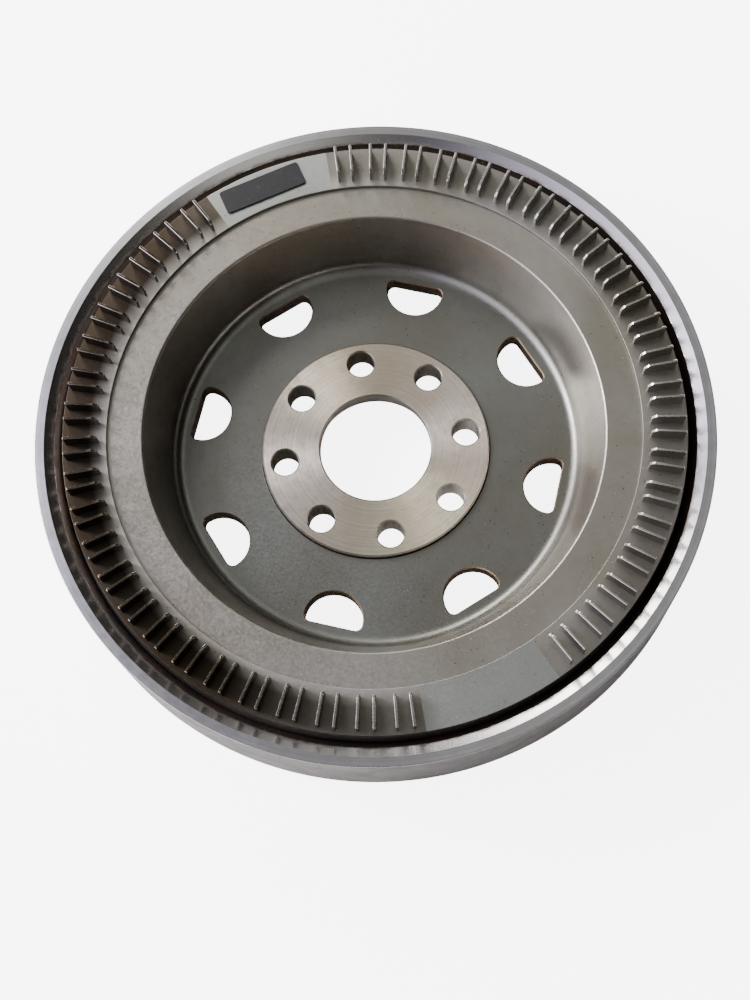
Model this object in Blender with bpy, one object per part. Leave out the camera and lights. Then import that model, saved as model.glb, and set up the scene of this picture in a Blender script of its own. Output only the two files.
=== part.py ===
"""Dual-mass flywheel with a finned front ring and a large open middle.

The part stands on its rear face. +Z points to the crankshaft side, and the
origin is on the axis, at the level of the rear face. Everything is in metres.
"""
import math

import bmesh
import bpy
from mathutils import Matrix, Vector

# ---------------------------------------------------------------- driving sizes
# Fits
FIT_GAP = 0.0003            # between two faces that touch on the real part
RUN_GAP = 0.0006            # between a turning face and a standing one
RING_SEGMENTS = 48          # facets round every large ring
FILLET_STEPS = 3            # straight pieces in a rounded corner

# Crankshaft hub
BORE_RADIUS = 0.0252
BORE_LAND = 0.0050          # depth of the fitted part of the bore
BORE_RELIEF = 0.0024        # how much wider the bore is behind that
HUB_RADIUS = 0.0517
HUB_STANDOUT = 0.0023       # hub face above the dish floor
HUB_FLANGE_WIDTH = 0.0050   # rear collar that the plate sits against
HUB_FLANGE_THICKNESS = 0.0030
BOLT_COUNT = 8
BOLT_EDGE_DISTANCE = 0.0100 # from the hub's edge to the middle of a bolt hole
BOLT_HOLE_RADIUS = 0.00615

# Pressed primary plate
FLOOR_THICKNESS = 0.0080
PLATE_WALL = 0.0045
DISH_DEPTH = 0.0315
DISH_FLOOR_RADIUS = 0.0916
DISH_MOUTH_RADIUS = 0.1010
DISH_FLOOR_FILLET = 0.0055
DISH_MOUTH_FILLET = 0.0012
DISH_BACK_FILLET = 0.0008   # where the wall meets the back of the annulus
PLATE_OUTER_RADIUS = 0.1373
PLATE_CORNER_FILLET = 0.0070

# D-shaped windows through the dish floor
WINDOW_COUNT = 8
WINDOW_INNER_RADIUS = 0.0690
WINDOW_DEPTH = 0.0155       # radial
WINDOW_WIDTH = 0.0260       # across
WINDOW_CORNER = 0.0030

# Rim and starter gear
RIM_WALL = 0.0109
RIM_STANDOUT = 0.0007       # rim face above the annulus of the plate
RIM_FACE_WIDTH = 0.0042     # flat top face
RIM_SLOPE_DROP = 0.0020     # the sloped band inside it
RIM_GROOVE_DEPTH = 0.0060   # open groove between the plate and the rim
RIM_FLARE = 0.0008          # outer wall is this much wider at its foot
WEB_THICKNESS = 0.0027
SPIGOT_WALL = 0.0072
GEAR_EDGE_MARGIN = 0.0055   # tooth tips inside the rim's outer wall
GEAR_MODULE = 0.00254
TOOTH_ADDENDUM = 0.8        # tip height in modules
TOOTH_TIP_SHARE = 0.28      # of the pitch, across a tooth's tip
TOOTH_ROOT_SHARE = 0.60     # of the pitch, across a tooth's root
GEAR_WIDTH = 0.0107
GEAR_RIM = 0.0050           # below the roots

# Cooling fin ring
FIN_PLATE_WIDTH = 0.0194
FIN_PLATE_THICKNESS = 0.0012
FIN_PLATE_INSET = 0.0013    # from the edge of the primary plate
FIN_EDGE_MARGIN = 0.0032    # plate left inside the fins
FIN_OUTER_MARGIN = 0.0018   # plate left outside the fins
FIN_HEIGHT = 0.0075
FIN_THICKNESS = 0.0012
FIN_CHAMFER = 0.0020
FIN_BANKS = 2
FIN_PAIRS_PER_BANK = 22
FIN_PAIR_PITCH = math.radians(7.0)
FIN_PAIR_GAP = math.radians(3.0)
FIRST_FIN_ANGLE = math.radians(-61.9)

# Data label
LABEL_LENGTH = 0.0390
LABEL_WIDTH = 0.0120
LABEL_THICKNESS = 0.0005
LABEL_CORNER = 0.0015
LABEL_ANGLE = math.radians(104.3)

# Arc springs and what guides them
SHELL_THICKNESS = 0.0013
SHELL_HALF_ANGLE = math.radians(50.0)
SPRING_CLEARANCE = 0.0008
SPRING_WIRE = 0.0044
SPRING_COILS = 12
SPRING_STEPS_PER_COIL = 8
STOP_HALF_ANGLE = math.radians(6.0)
STOP_MARGIN = 0.0030        # from the collar and from the slide shell
SPRING_END_GAP = math.radians(2.2)
SEAL_THICKNESS = 0.0008

# Output side
OUTPUT_RING_THICKNESS = 0.0050
OUTPUT_RING_CLEARANCE = 0.0025 # to the balance weights
OUTPUT_RING_RECESS = 0.0020 # round the bore, for the retaining ring
COLLAR_WALL = 0.0035
COLLAR_CLEARANCE = 0.0016   # to the dish wall
FOOT_THICKNESS = 0.0035
LUG_THICKNESS = 0.0080
LUG_HALF_ANGLE = math.radians(5.5)
LUG_TIP_CLEARANCE = 0.0045  # to the slide shell
RIVET_COUNT = 6
RIVET_RADIUS = 0.0032
RIVET_HEAD_RADIUS = 0.0048
RIVET_HEAD_HEIGHT = 0.0018
RIVET_HEAD_TAPER = 0.7      # how much of its width the head keeps at its top
DRIVE_HOLE_COUNT = 6
DRIVE_HOLE_RADIUS = 0.0051
DOWEL_COUNT = 3
DOWEL_RADIUS = 0.0040
DOWEL_STANDOUT = 0.0020
DOWEL_CHAMFER = 0.0006
DOWEL_ANGLE = math.radians(15.0)

# Rear cover, bearing and friction stack
COVER_THICKNESS = 0.0035
COVER_COLLAR_CLEARANCE = 0.0030
COVER_TO_HEAD = 0.0009
CARRIER_SEAT_WIDTH = 0.0031 # under the edge of the dish floor, clear of the windows
CARRIER_TUBE_WALL = 0.0026
CARRIER_FOOT_THICKNESS = 0.0030
BUSH_WALL = 0.0018
WASHER_THICKNESS = 0.0010
CUP_SPRING_THICKNESS = 0.0006
CUP_SPRING_RISE = 0.0006
CUP_SPRING_WIDTH = 0.0046
RETAINER_THICKNESS = 0.0014
RETAINER_OVERLAP = 0.0026
GROUND_CLEARANCE = 0.0030   # below the output ring
WEIGHT_WIDTH = 0.0050
WEIGHT_THICKNESS = 0.0018
WEIGHT_SPANS = {1: (40.0, 58.0), 2: (152.0, 164.0), 3: (286.0, 310.0)}

# ---------------------------------------------------------------- worked-out places
# Heights, from the rear face up
OUTPUT_RING_Z = GROUND_CLEARANCE
OUTPUT_RING_TOP = OUTPUT_RING_Z + OUTPUT_RING_THICKNESS
RECESS_TOP = OUTPUT_RING_Z + OUTPUT_RING_RECESS
RETAINER_Z = RECESS_TOP - RUN_GAP - RETAINER_THICKNESS
RIVET_Z = OUTPUT_RING_Z + FIT_GAP
SINK_TOP = RIVET_Z + RIVET_HEAD_HEIGHT + FIT_GAP
WASHER_Z = OUTPUT_RING_TOP + FIT_GAP
CUP_SPRING_Z = WASHER_Z + WASHER_THICKNESS + FIT_GAP
CARRIER_FOOT_Z = CUP_SPRING_Z + CUP_SPRING_THICKNESS + CUP_SPRING_RISE + FIT_GAP
FLOOR_Z = CARRIER_FOOT_Z + CARRIER_FOOT_THICKNESS + FIT_GAP
FLOOR_TOP = FLOOR_Z + FLOOR_THICKNESS
ANNULUS_TOP = FLOOR_TOP + DISH_DEPTH
ANNULUS_Z = ANNULUS_TOP - PLATE_WALL
FOOT_Z = OUTPUT_RING_TOP + FIT_GAP
FOOT_TOP = FOOT_Z + FOOT_THICKNESS
COVER_Z = FOOT_TOP + RIVET_HEAD_HEIGHT + COVER_TO_HEAD
COVER_TOP = COVER_Z + COVER_THICKNESS
WEB_TOP = COVER_Z - FIT_GAP
SPIGOT_TOP = WEB_TOP - WEB_THICKNESS
GEAR_Z = SPIGOT_TOP - FIT_GAP - GEAR_WIDTH
CHANNEL_MIDDLE = (COVER_TOP + ANNULUS_Z) / 2
LUG_Z = CHANNEL_MIDDLE - LUG_THICKNESS / 2
LUG_TOP = CHANNEL_MIDDLE + LUG_THICKNESS / 2
HUB_TOP = FLOOR_TOP + HUB_STANDOUT
HUB_Z = FLOOR_Z - FIT_GAP - HUB_FLANGE_THICKNESS
RIM_TOP = ANNULUS_TOP + RIM_STANDOUT
FIN_PLATE_Z = ANNULUS_TOP + FIT_GAP
FIN_PLATE_TOP = FIN_PLATE_Z + FIN_PLATE_THICKNESS

# Radii, from the middle out
BOLT_CIRCLE_RADIUS = HUB_RADIUS - BOLT_EDGE_DISTANCE
HUB_SEAT_RADIUS = HUB_RADIUS + FIT_GAP
DISH_SLOPE = (DISH_MOUTH_RADIUS - DISH_FLOOR_RADIUS) / DISH_DEPTH
WALL_OFFSET = PLATE_WALL * math.sqrt(1 + DISH_SLOPE ** 2)
DISH_OUTSIDE_FOOT = DISH_FLOOR_RADIUS + WALL_OFFSET - DISH_SLOPE * FLOOR_THICKNESS
DISH_OUTSIDE_MOUTH = DISH_MOUTH_RADIUS + WALL_OFFSET - DISH_SLOPE * PLATE_WALL
DISH_OUTSIDE_AT_LUG = DISH_FLOOR_RADIUS + WALL_OFFSET + DISH_SLOPE * (LUG_TOP - FLOOR_TOP)
COLLAR_INNER_RADIUS = DISH_OUTSIDE_AT_LUG + COLLAR_CLEARANCE
COLLAR_OUTER_RADIUS = COLLAR_INNER_RADIUS + COLLAR_WALL
CHANNEL_OUTER_RADIUS = PLATE_OUTER_RADIUS - PLATE_WALL
SHELL_OUTER_RADIUS = CHANNEL_OUTER_RADIUS - FIT_GAP
SHELL_INNER_RADIUS = SHELL_OUTER_RADIUS - SHELL_THICKNESS
SPRING_OUTER_REACH = SHELL_INNER_RADIUS - SPRING_CLEARANCE
SPRING_INNER_REACH = COLLAR_OUTER_RADIUS + RUN_GAP
COIL_RADIUS = min((SPRING_OUTER_REACH - SPRING_INNER_REACH) / 2,
                  (ANNULUS_Z - COVER_TOP) / 2 - SEAL_THICKNESS - RUN_GAP)
RIM_BORE_RADIUS = PLATE_OUTER_RADIUS + FIT_GAP
RIM_OUTER_RADIUS = RIM_BORE_RADIUS + RIM_WALL
TOOTH_TIP_HEIGHT = TOOTH_ADDENDUM * GEAR_MODULE
GEAR_TEETH = round(2 * (RIM_OUTER_RADIUS - GEAR_EDGE_MARGIN - TOOTH_TIP_HEIGHT) / GEAR_MODULE)
GEAR_PITCH_RADIUS = GEAR_TEETH * GEAR_MODULE / 2
GEAR_TIP_RADIUS = GEAR_PITCH_RADIUS + TOOTH_TIP_HEIGHT
GEAR_ROOT_RADIUS = GEAR_PITCH_RADIUS - GEAR_MODULE
GEAR_BORE_RADIUS = GEAR_ROOT_RADIUS - GEAR_RIM
SPIGOT_OUTER_RADIUS = GEAR_BORE_RADIUS - FIT_GAP
SPIGOT_INNER_RADIUS = SPIGOT_OUTER_RADIUS - SPIGOT_WALL
COVER_INNER_RADIUS = COLLAR_OUTER_RADIUS + COVER_COLLAR_CLEARANCE
FIN_PLATE_OUTER_RADIUS = PLATE_OUTER_RADIUS - FIN_PLATE_INSET
FIN_PLATE_INNER_RADIUS = FIN_PLATE_OUTER_RADIUS - FIN_PLATE_WIDTH
FIN_INNER_RADIUS = FIN_PLATE_INNER_RADIUS + FIN_EDGE_MARGIN
FIN_OUTER_RADIUS = FIN_PLATE_OUTER_RADIUS - FIN_OUTER_MARGIN
CARRIER_TUBE_INNER = DISH_OUTSIDE_FOOT - CARRIER_SEAT_WIDTH
CARRIER_TUBE_OUTER = CARRIER_TUBE_INNER + CARRIER_TUBE_WALL
CARRIER_FOOT_OUTER = CARRIER_TUBE_OUTER + CUP_SPRING_WIDTH
BUSH_INNER_RADIUS = CARRIER_TUBE_OUTER + FIT_GAP
BUSH_OUTER_RADIUS = BUSH_INNER_RADIUS + BUSH_WALL
OUTPUT_RING_INNER_RADIUS = BUSH_OUTER_RADIUS + RUN_GAP
RETAINER_OUTER_RADIUS = BUSH_OUTER_RADIUS + RETAINER_OVERLAP
WEIGHT_INNER_RADIUS = SPIGOT_INNER_RADIUS - FIT_GAP - WEIGHT_WIDTH
OUTPUT_RING_OUTER_RADIUS = WEIGHT_INNER_RADIUS - OUTPUT_RING_CLEARANCE
FASTENER_CIRCLE_RADIUS = (COLLAR_OUTER_RADIUS + OUTPUT_RING_OUTER_RADIUS) / 2


# ---------------------------------------------------------------- helpers
def clear_scene():
    for thing in list(bpy.data.objects):
        bpy.data.objects.remove(thing, do_unlink=True)


def material(name, colour, metallic, roughness):
    mat = bpy.data.materials.new(name)
    mat.use_nodes = True
    shader = mat.node_tree.nodes["Principled BSDF"]
    shader.inputs["Base Color"].default_value = (*colour, 1.0)
    shader.inputs["Metallic"].default_value = metallic
    shader.inputs["Roughness"].default_value = roughness
    return mat


def polar(radius, angle):
    return Vector((radius * math.cos(angle), radius * math.sin(angle), 0.0))


def rounded(corners, steps=FILLET_STEPS):
    """A closed outline of (x, y) points from corners given as (x, y, fillet radius)."""
    outline = []
    count = len(corners)
    for index, (x, y, fillet) in enumerate(corners):
        here = Vector((x, y))
        if fillet <= 0:
            outline.append((x, y))
            continue
        before = Vector(corners[index - 1][:2]) - here
        after = Vector(corners[(index + 1) % count][:2]) - here
        half = before.angle(after) / 2
        reach = fillet / math.tan(half)
        middle = here + (before.normalized() + after.normalized()).normalized() * fillet / math.sin(half)
        start = here + before.normalized() * reach - middle
        end = here + after.normalized() * reach - middle
        sweep = start.angle_signed(end)
        for step in range(steps + 1):
            turn = Matrix.Rotation(-sweep * step / steps, 2)
            outline.append(tuple(middle + turn @ start))
    return outline


def new_object(name, mesh, mat, parent=None):
    obj = bpy.data.objects.new(name, mesh)
    bpy.context.scene.collection.objects.link(obj)
    if mat:
        mesh.materials.append(mat)
    obj.parent = parent
    return obj


def finish(bm, name, mat, parent=None, smooth=True):
    """Turn a bmesh into a named object with outward faces."""
    bmesh.ops.recalc_face_normals(bm, faces=bm.faces)
    mesh = bpy.data.meshes.new(name)
    bm.to_mesh(mesh)
    bm.free()
    if smooth:
        mesh.shade_smooth()
        mesh.set_sharp_from_angle(angle=math.radians(35.0))
    return new_object(name, mesh, mat, parent)


def add_loop(bm, points):
    """A closed wire loop through the points."""
    verts = [bm.verts.new(point) for point in points]
    edges = [bm.edges.new((verts[i - 1], verts[i])) for i in range(len(verts))]
    return verts, edges


def add_turned(bm, outline, segments=RING_SEGMENTS):
    """Spin a closed (radius, z) outline once round the Z axis."""
    verts, edges = add_loop(bm, [(radius, 0.0, z) for radius, z in outline])
    bmesh.ops.spin(bm, geom=verts + edges, cent=(0, 0, 0), axis=(0, 0, 1),
                   angle=math.tau, steps=segments, use_merge=True)


def add_arc_block(bm, outline, start, end, steps):
    """Sweep a closed (radius, z) outline round the Z axis from start to end, with flat ends."""
    turn = Matrix.Rotation(start, 3, "Z")
    verts, edges = add_loop(bm, [turn @ Vector((radius, 0.0, z)) for radius, z in outline])
    swept = bmesh.ops.spin(bm, geom=verts + edges, cent=(0, 0, 0), axis=(0, 0, 1),
                           angle=end - start, steps=steps)
    last = [item for item in swept["geom_last"] if isinstance(item, bmesh.types.BMEdge)]
    bmesh.ops.edgeloop_fill(bm, edges=edges)
    bmesh.ops.edgeloop_fill(bm, edges=last)


def add_prism(bm, outline, low, high, place=Matrix.Identity(4)):
    """Raise a closed (x, y) outline from one height to another, then place it."""
    verts, edges = add_loop(bm, [place @ Vector((x, y, low)) for x, y in outline])
    face = bmesh.ops.contextual_create(bm, geom=edges)["faces"]
    raised = bmesh.ops.extrude_face_region(bm, geom=face, use_keep_orig=True)
    tops = [item for item in raised["geom"] if isinstance(item, bmesh.types.BMVert)]
    bmesh.ops.translate(bm, verts=tops, vec=(0, 0, high - low))


def circle(radius, sides):
    return [tuple(polar(radius, math.tau * (k + 0.5) / sides).xy) for k in range(sides)]


def turned(name, outline, mat, parent=None, segments=RING_SEGMENTS):
    bm = bmesh.new()
    add_turned(bm, outline, segments)
    return finish(bm, name, mat, parent)


def arc_block(name, outline, start, end, steps, mat, parent=None):
    bm = bmesh.new()
    add_arc_block(bm, outline, start, end, steps)
    return finish(bm, name, mat, parent)


def tool(name, bm):
    """A shape that only cuts or adds to another one."""
    obj = finish(bm, name, None, smooth=False)
    obj.hide_render = True
    obj.display_type = "WIRE"
    return obj


def combine(obj, other, operation):
    boolean = obj.modifiers.new(other.name, "BOOLEAN")
    boolean.operation = operation
    boolean.solver = "EXACT"
    boolean.object = other


def hole_cutter(name, places, radius, low, high, sides=12):
    """One round post at each (circle radius, angle)."""
    bm = bmesh.new()
    for circle_radius, angle in places:
        place = Matrix.Translation(polar(circle_radius, angle)) @ Matrix.Rotation(angle, 4, "Z")
        add_prism(bm, circle(radius, sides), low, high, place)
    return tool(name, bm)


def spread(count, first=0.0):
    """Angles of count things spaced evenly round the axis."""
    return [first + math.tau * k / count for k in range(count)]


# ---------------------------------------------------------------- primary side
def make_primary_plate(mat, parent):
    """The pressed dish, its flat annulus and the outer wall of the spring channel."""
    outline = rounded([
        (HUB_SEAT_RADIUS, FLOOR_Z, 0),
        (HUB_SEAT_RADIUS, FLOOR_TOP, 0),
        (DISH_FLOOR_RADIUS, FLOOR_TOP, DISH_FLOOR_FILLET),
        (DISH_MOUTH_RADIUS, ANNULUS_TOP, DISH_MOUTH_FILLET),
        (PLATE_OUTER_RADIUS, ANNULUS_TOP, PLATE_CORNER_FILLET),
        (PLATE_OUTER_RADIUS, COVER_TOP + FIT_GAP, 0),
        (CHANNEL_OUTER_RADIUS, COVER_TOP + FIT_GAP, 0),
        (CHANNEL_OUTER_RADIUS, ANNULUS_Z, PLATE_CORNER_FILLET - PLATE_WALL),
        (DISH_OUTSIDE_MOUTH, ANNULUS_Z, DISH_BACK_FILLET),
        (DISH_OUTSIDE_FOOT, FLOOR_Z, 0),
    ])
    plate = turned("primary_plate", outline, mat, parent)
    combine(plate, window_cutter(), "DIFFERENCE")
    return plate


def window_outline():
    """A window with its straight side outward: a half ellipse closed by two round corners."""
    outer = WINDOW_INNER_RADIUS + WINDOW_DEPTH
    shoulder = outer - WINDOW_CORNER
    half_width = WINDOW_WIDTH / 2
    points = []
    arc_steps = 8
    for step in range(arc_steps + 1):
        angle = math.pi * step / arc_steps
        points.append((shoulder - (shoulder - WINDOW_INNER_RADIUS) * math.sin(angle),
                       -half_width * math.cos(angle)))
    corner_steps = 2
    for side in (1, -1):
        for step in range(1, corner_steps + 1):
            angle = math.pi / 2 * (step if side > 0 else corner_steps - step) / corner_steps
            if side < 0 and step == corner_steps:
                continue
            points.append((shoulder + WINDOW_CORNER * math.sin(angle),
                           side * (half_width - WINDOW_CORNER * (1 - math.cos(angle)))))
        if side > 0:
            points.append((outer, -(half_width - WINDOW_CORNER)))
    return points


def window_cutter():
    bm = bmesh.new()
    for angle in spread(WINDOW_COUNT, math.pi / WINDOW_COUNT):
        place = Matrix.Rotation(angle, 4, "Z")
        add_prism(bm, window_outline(), FLOOR_Z - PLATE_WALL, FLOOR_TOP + PLATE_WALL, place)
    return tool("window_cutter", bm)


def make_hub(mat, parent):
    """The turned crankshaft hub in the middle of the dish floor."""
    relief_radius = BORE_RADIUS + BORE_RELIEF
    outline = [
        (BORE_RADIUS, HUB_TOP),
        (HUB_RADIUS, HUB_TOP),
        (HUB_RADIUS, FLOOR_Z - FIT_GAP),
        (HUB_RADIUS + HUB_FLANGE_WIDTH, FLOOR_Z - FIT_GAP),
        (HUB_RADIUS + HUB_FLANGE_WIDTH, HUB_Z),
        (relief_radius, HUB_Z),
        (relief_radius, HUB_TOP - BORE_LAND),
        (BORE_RADIUS, HUB_TOP - BORE_LAND),
    ]
    hub = turned("crank_hub", outline, mat, parent)
    places = [(BOLT_CIRCLE_RADIUS, angle) for angle in spread(BOLT_COUNT)]
    cutter = hole_cutter("bolt_hole_cutter", places, BOLT_HOLE_RADIUS,
                         HUB_Z - PLATE_WALL, HUB_TOP + PLATE_WALL, sides=16)
    combine(hub, cutter, "DIFFERENCE")
    return hub


def make_rim(mat, parent):
    """The heavy rim. Its rear web carries the spigot for the starter gear."""
    groove_z = ANNULUS_TOP - RIM_GROOVE_DEPTH
    face_inner = RIM_OUTER_RADIUS - RIM_FACE_WIDTH
    slope_inner = (face_inner + RIM_BORE_RADIUS) / 2 - RIM_STANDOUT
    foot_radius = RIM_OUTER_RADIUS + RIM_FLARE
    outline = [
        (RIM_BORE_RADIUS, WEB_TOP),
        (RIM_BORE_RADIUS, groove_z),
        (slope_inner, RIM_TOP - RIM_SLOPE_DROP),
        (face_inner, RIM_TOP),
        (RIM_OUTER_RADIUS, RIM_TOP),
        (foot_radius, SPIGOT_TOP),
        (SPIGOT_OUTER_RADIUS, SPIGOT_TOP),
        (SPIGOT_OUTER_RADIUS, 0.0),
        (SPIGOT_INNER_RADIUS, 0.0),
        (SPIGOT_INNER_RADIUS, WEB_TOP),
    ]
    return turned("rim_ring", outline, mat, parent)


def tooth_outline():
    """The gear's outline: four points to a tooth."""
    pitch = math.tau / GEAR_TEETH
    root = TOOTH_ROOT_SHARE / 2
    tip = TOOTH_TIP_SHARE / 2
    points = []
    for tooth in range(GEAR_TEETH):
        middle = tooth * pitch
        for share, radius in ((-root, GEAR_ROOT_RADIUS), (-tip, GEAR_TIP_RADIUS),
                              (tip, GEAR_TIP_RADIUS), (root, GEAR_ROOT_RADIUS)):
            points.append(polar(radius, middle + share * pitch))
    return points


def make_starter_gear(mat, parent):
    bm = bmesh.new()
    lift = Vector((0, 0, GEAR_Z))
    _, outer = add_loop(bm, [point + lift for point in tooth_outline()])
    bore = [polar(GEAR_BORE_RADIUS, angle) + lift for angle in spread(RING_SEGMENTS)]
    _, inner = add_loop(bm, bore)
    bmesh.ops.triangle_fill(bm, edges=outer + inner, use_beauty=True)
    raised = bmesh.ops.extrude_face_region(bm, geom=bm.faces[:], use_keep_orig=True)
    tops = [item for item in raised["geom"] if isinstance(item, bmesh.types.BMVert)]
    bmesh.ops.translate(bm, verts=tops, vec=(0, 0, GEAR_WIDTH))
    return finish(bm, "starter_ring_gear", mat, parent)


def make_fin_ring(mat, parent):
    """A thin plate ring with two banks of upright fins, set in pairs."""
    ring = turned("cooling_fin_ring", [
        (FIN_PLATE_INNER_RADIUS, FIN_PLATE_Z),
        (FIN_PLATE_INNER_RADIUS, FIN_PLATE_TOP),
        (FIN_PLATE_OUTER_RADIUS, FIN_PLATE_TOP),
        (FIN_PLATE_OUTER_RADIUS, FIN_PLATE_Z),
    ], mat, parent)
    root = FIN_PLATE_TOP - FIN_PLATE_THICKNESS / 4
    top = FIN_PLATE_TOP + FIN_HEIGHT
    side_outline = [
        (FIN_INNER_RADIUS, root),
        (FIN_INNER_RADIUS, top - FIN_CHAMFER),
        (FIN_INNER_RADIUS + FIN_CHAMFER, top),
        (FIN_OUTER_RADIUS, top),
        (FIN_OUTER_RADIUS, root),
    ]
    bm = bmesh.new()
    for bank in spread(FIN_BANKS, FIRST_FIN_ANGLE):
        for pair in range(FIN_PAIRS_PER_BANK):
            for fin in (0, 1):
                add_fin(bm, side_outline, bank + pair * FIN_PAIR_PITCH + fin * FIN_PAIR_GAP)
    combine(ring, tool("fins", bm), "UNION")
    return ring


def add_fin(bm, side_outline, angle):
    turn = Matrix.Rotation(angle, 3, "Z")
    start = [turn @ Vector((radius, -FIN_THICKNESS / 2, z)) for radius, z in side_outline]
    _, edges = add_loop(bm, start)
    face = bmesh.ops.contextual_create(bm, geom=edges)["faces"]
    raised = bmesh.ops.extrude_face_region(bm, geom=face, use_keep_orig=True)
    sides = [item for item in raised["geom"] if isinstance(item, bmesh.types.BMVert)]
    bmesh.ops.translate(bm, verts=sides, vec=turn @ Vector((0, FIN_THICKNESS, 0)))


def make_label(mat, parent):
    """A blank plate between the two banks of fins."""
    half_length = LABEL_LENGTH / 2
    half_width = LABEL_WIDTH / 2
    outline = rounded([
        (-half_width, -half_length, LABEL_CORNER),
        (-half_width, half_length, LABEL_CORNER),
        (half_width, half_length, LABEL_CORNER),
        (half_width, -half_length, LABEL_CORNER),
    ])
    middle = (FIN_INNER_RADIUS + FIN_OUTER_RADIUS) / 2
    place = Matrix.Translation(polar(middle, LABEL_ANGLE)) @ Matrix.Rotation(LABEL_ANGLE, 4, "Z")
    bm = bmesh.new()
    low = FIN_PLATE_TOP + FIT_GAP
    add_prism(bm, outline, low, low + LABEL_THICKNESS, place)
    return finish(bm, "data_label", mat, parent)


def make_cover(mat, parent):
    """The rear wall of the spring channel."""
    return turned("channel_cover", [
        (COVER_INNER_RADIUS, COVER_Z),
        (COVER_INNER_RADIUS, COVER_TOP),
        (PLATE_OUTER_RADIUS, COVER_TOP),
        (PLATE_OUTER_RADIUS, COVER_Z),
    ], mat, parent)


def make_weights(mat, parent):
    """Balance weights, spot-welded to the back of the cover."""
    high = COVER_Z - FIT_GAP
    outline = [
        (WEIGHT_INNER_RADIUS, high - WEIGHT_THICKNESS),
        (WEIGHT_INNER_RADIUS, high),
        (WEIGHT_INNER_RADIUS + WEIGHT_WIDTH, high),
        (WEIGHT_INNER_RADIUS + WEIGHT_WIDTH, high - WEIGHT_THICKNESS),
    ]
    for number, (start, end) in WEIGHT_SPANS.items():
        arc_block(f"balance_weight_{number}", outline, math.radians(start), math.radians(end),
                  3, mat, parent)


# ---------------------------------------------------------------- inside the channel
def make_slide_shells(mat, parent):
    """Two wear shells between the arc springs and the channel's outer wall."""
    outer = []
    inner = []
    arc_steps = 5
    reach = COIL_RADIUS + SPRING_CLEARANCE
    for step in range(arc_steps + 1):
        angle = SHELL_HALF_ANGLE * (2 * step / arc_steps - 1)
        outer.append((SHELL_OUTER_RADIUS - (reach + SHELL_THICKNESS) * (1 - math.cos(angle)),
                      CHANNEL_MIDDLE + (reach + SHELL_THICKNESS) * math.sin(angle)))
        inner.append((SHELL_INNER_RADIUS - reach * (1 - math.cos(angle)),
                      CHANNEL_MIDDLE + reach * math.sin(angle)))
    outline = outer + inner[::-1]
    margin = STOP_HALF_ANGLE + SPRING_END_GAP
    for number, first in enumerate(spread(2), start=1):
        arc_block(f"slide_shell_{number}", outline, first + margin, first + math.pi - margin,
                  22, mat, parent)


def make_arc_springs(mat, parent):
    """Two coil springs bent round the channel."""
    margin = STOP_HALF_ANGLE + SPRING_END_GAP
    wire_radius = SPRING_WIRE / 2
    turn_radius = COIL_RADIUS - wire_radius
    mean_radius = SPRING_OUTER_REACH - COIL_RADIUS
    steps = SPRING_COILS * SPRING_STEPS_PER_COIL
    for number, first in enumerate(spread(2), start=1):
        curve = bpy.data.curves.new(f"arc_spring_{number}", "CURVE")
        curve.dimensions = "3D"
        curve.bevel_depth = wire_radius
        curve.bevel_resolution = 1
        curve.use_fill_caps = True
        spline = curve.splines.new("POLY")
        spline.points.add(steps)
        for step, point in enumerate(spline.points):
            share = step / steps
            angle = first + margin + (math.pi - 2 * margin) * share
            phase = math.tau * SPRING_COILS * share
            place = polar(mean_radius + turn_radius * math.cos(phase), angle)
            point.co = (place.x, place.y, CHANNEL_MIDDLE + turn_radius * math.sin(phase), 1.0)
        new_object(curve.name, curve, mat, parent)


def make_stops(mat, parent):
    """Blocks that hold the spring ends, above and below the path of the lugs."""
    inner = COLLAR_OUTER_RADIUS + STOP_MARGIN + SPRING_WIRE
    outer = SHELL_INNER_RADIUS - STOP_MARGIN
    levels = {
        "front": (LUG_TOP + RUN_GAP, ANNULUS_Z - FIT_GAP),
        "rear": (COVER_TOP + FIT_GAP, LUG_Z - RUN_GAP),
    }
    for side, (low, high) in levels.items():
        outline = [(inner, low), (inner, high), (outer, high), (outer, low)]
        for number, angle in enumerate(spread(2), start=1):
            arc_block(f"spring_stop_{side}_{number}", outline, angle - STOP_HALF_ANGLE,
                      angle + STOP_HALF_ANGLE, 3, mat, parent)


def make_seals(mat, parent):
    """Thin rings that keep the grease in the channel."""
    front_foot = COLLAR_INNER_RADIUS + COLLAR_WALL / 2
    front_head = DISH_OUTSIDE_MOUTH + SEAL_THICKNESS + 2 * FIT_GAP
    low = LUG_TOP + RUN_GAP
    high = ANNULUS_Z - FIT_GAP
    turned("front_grease_seal", [
        (front_foot, low),
        (front_head, high),
        (front_head + SEAL_THICKNESS, high),
        (front_foot + SEAL_THICKNESS, low),
    ], mat, parent)
    inner = COLLAR_OUTER_RADIUS + RUN_GAP
    outer = COVER_INNER_RADIUS + COVER_COLLAR_CLEARANCE
    turned("rear_grease_seal", [
        (inner, COVER_TOP + FIT_GAP),
        (inner, COVER_TOP + FIT_GAP + SEAL_THICKNESS),
        (outer, COVER_TOP + FIT_GAP + SEAL_THICKNESS),
        (outer, COVER_TOP + FIT_GAP),
    ], mat, parent)


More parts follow.
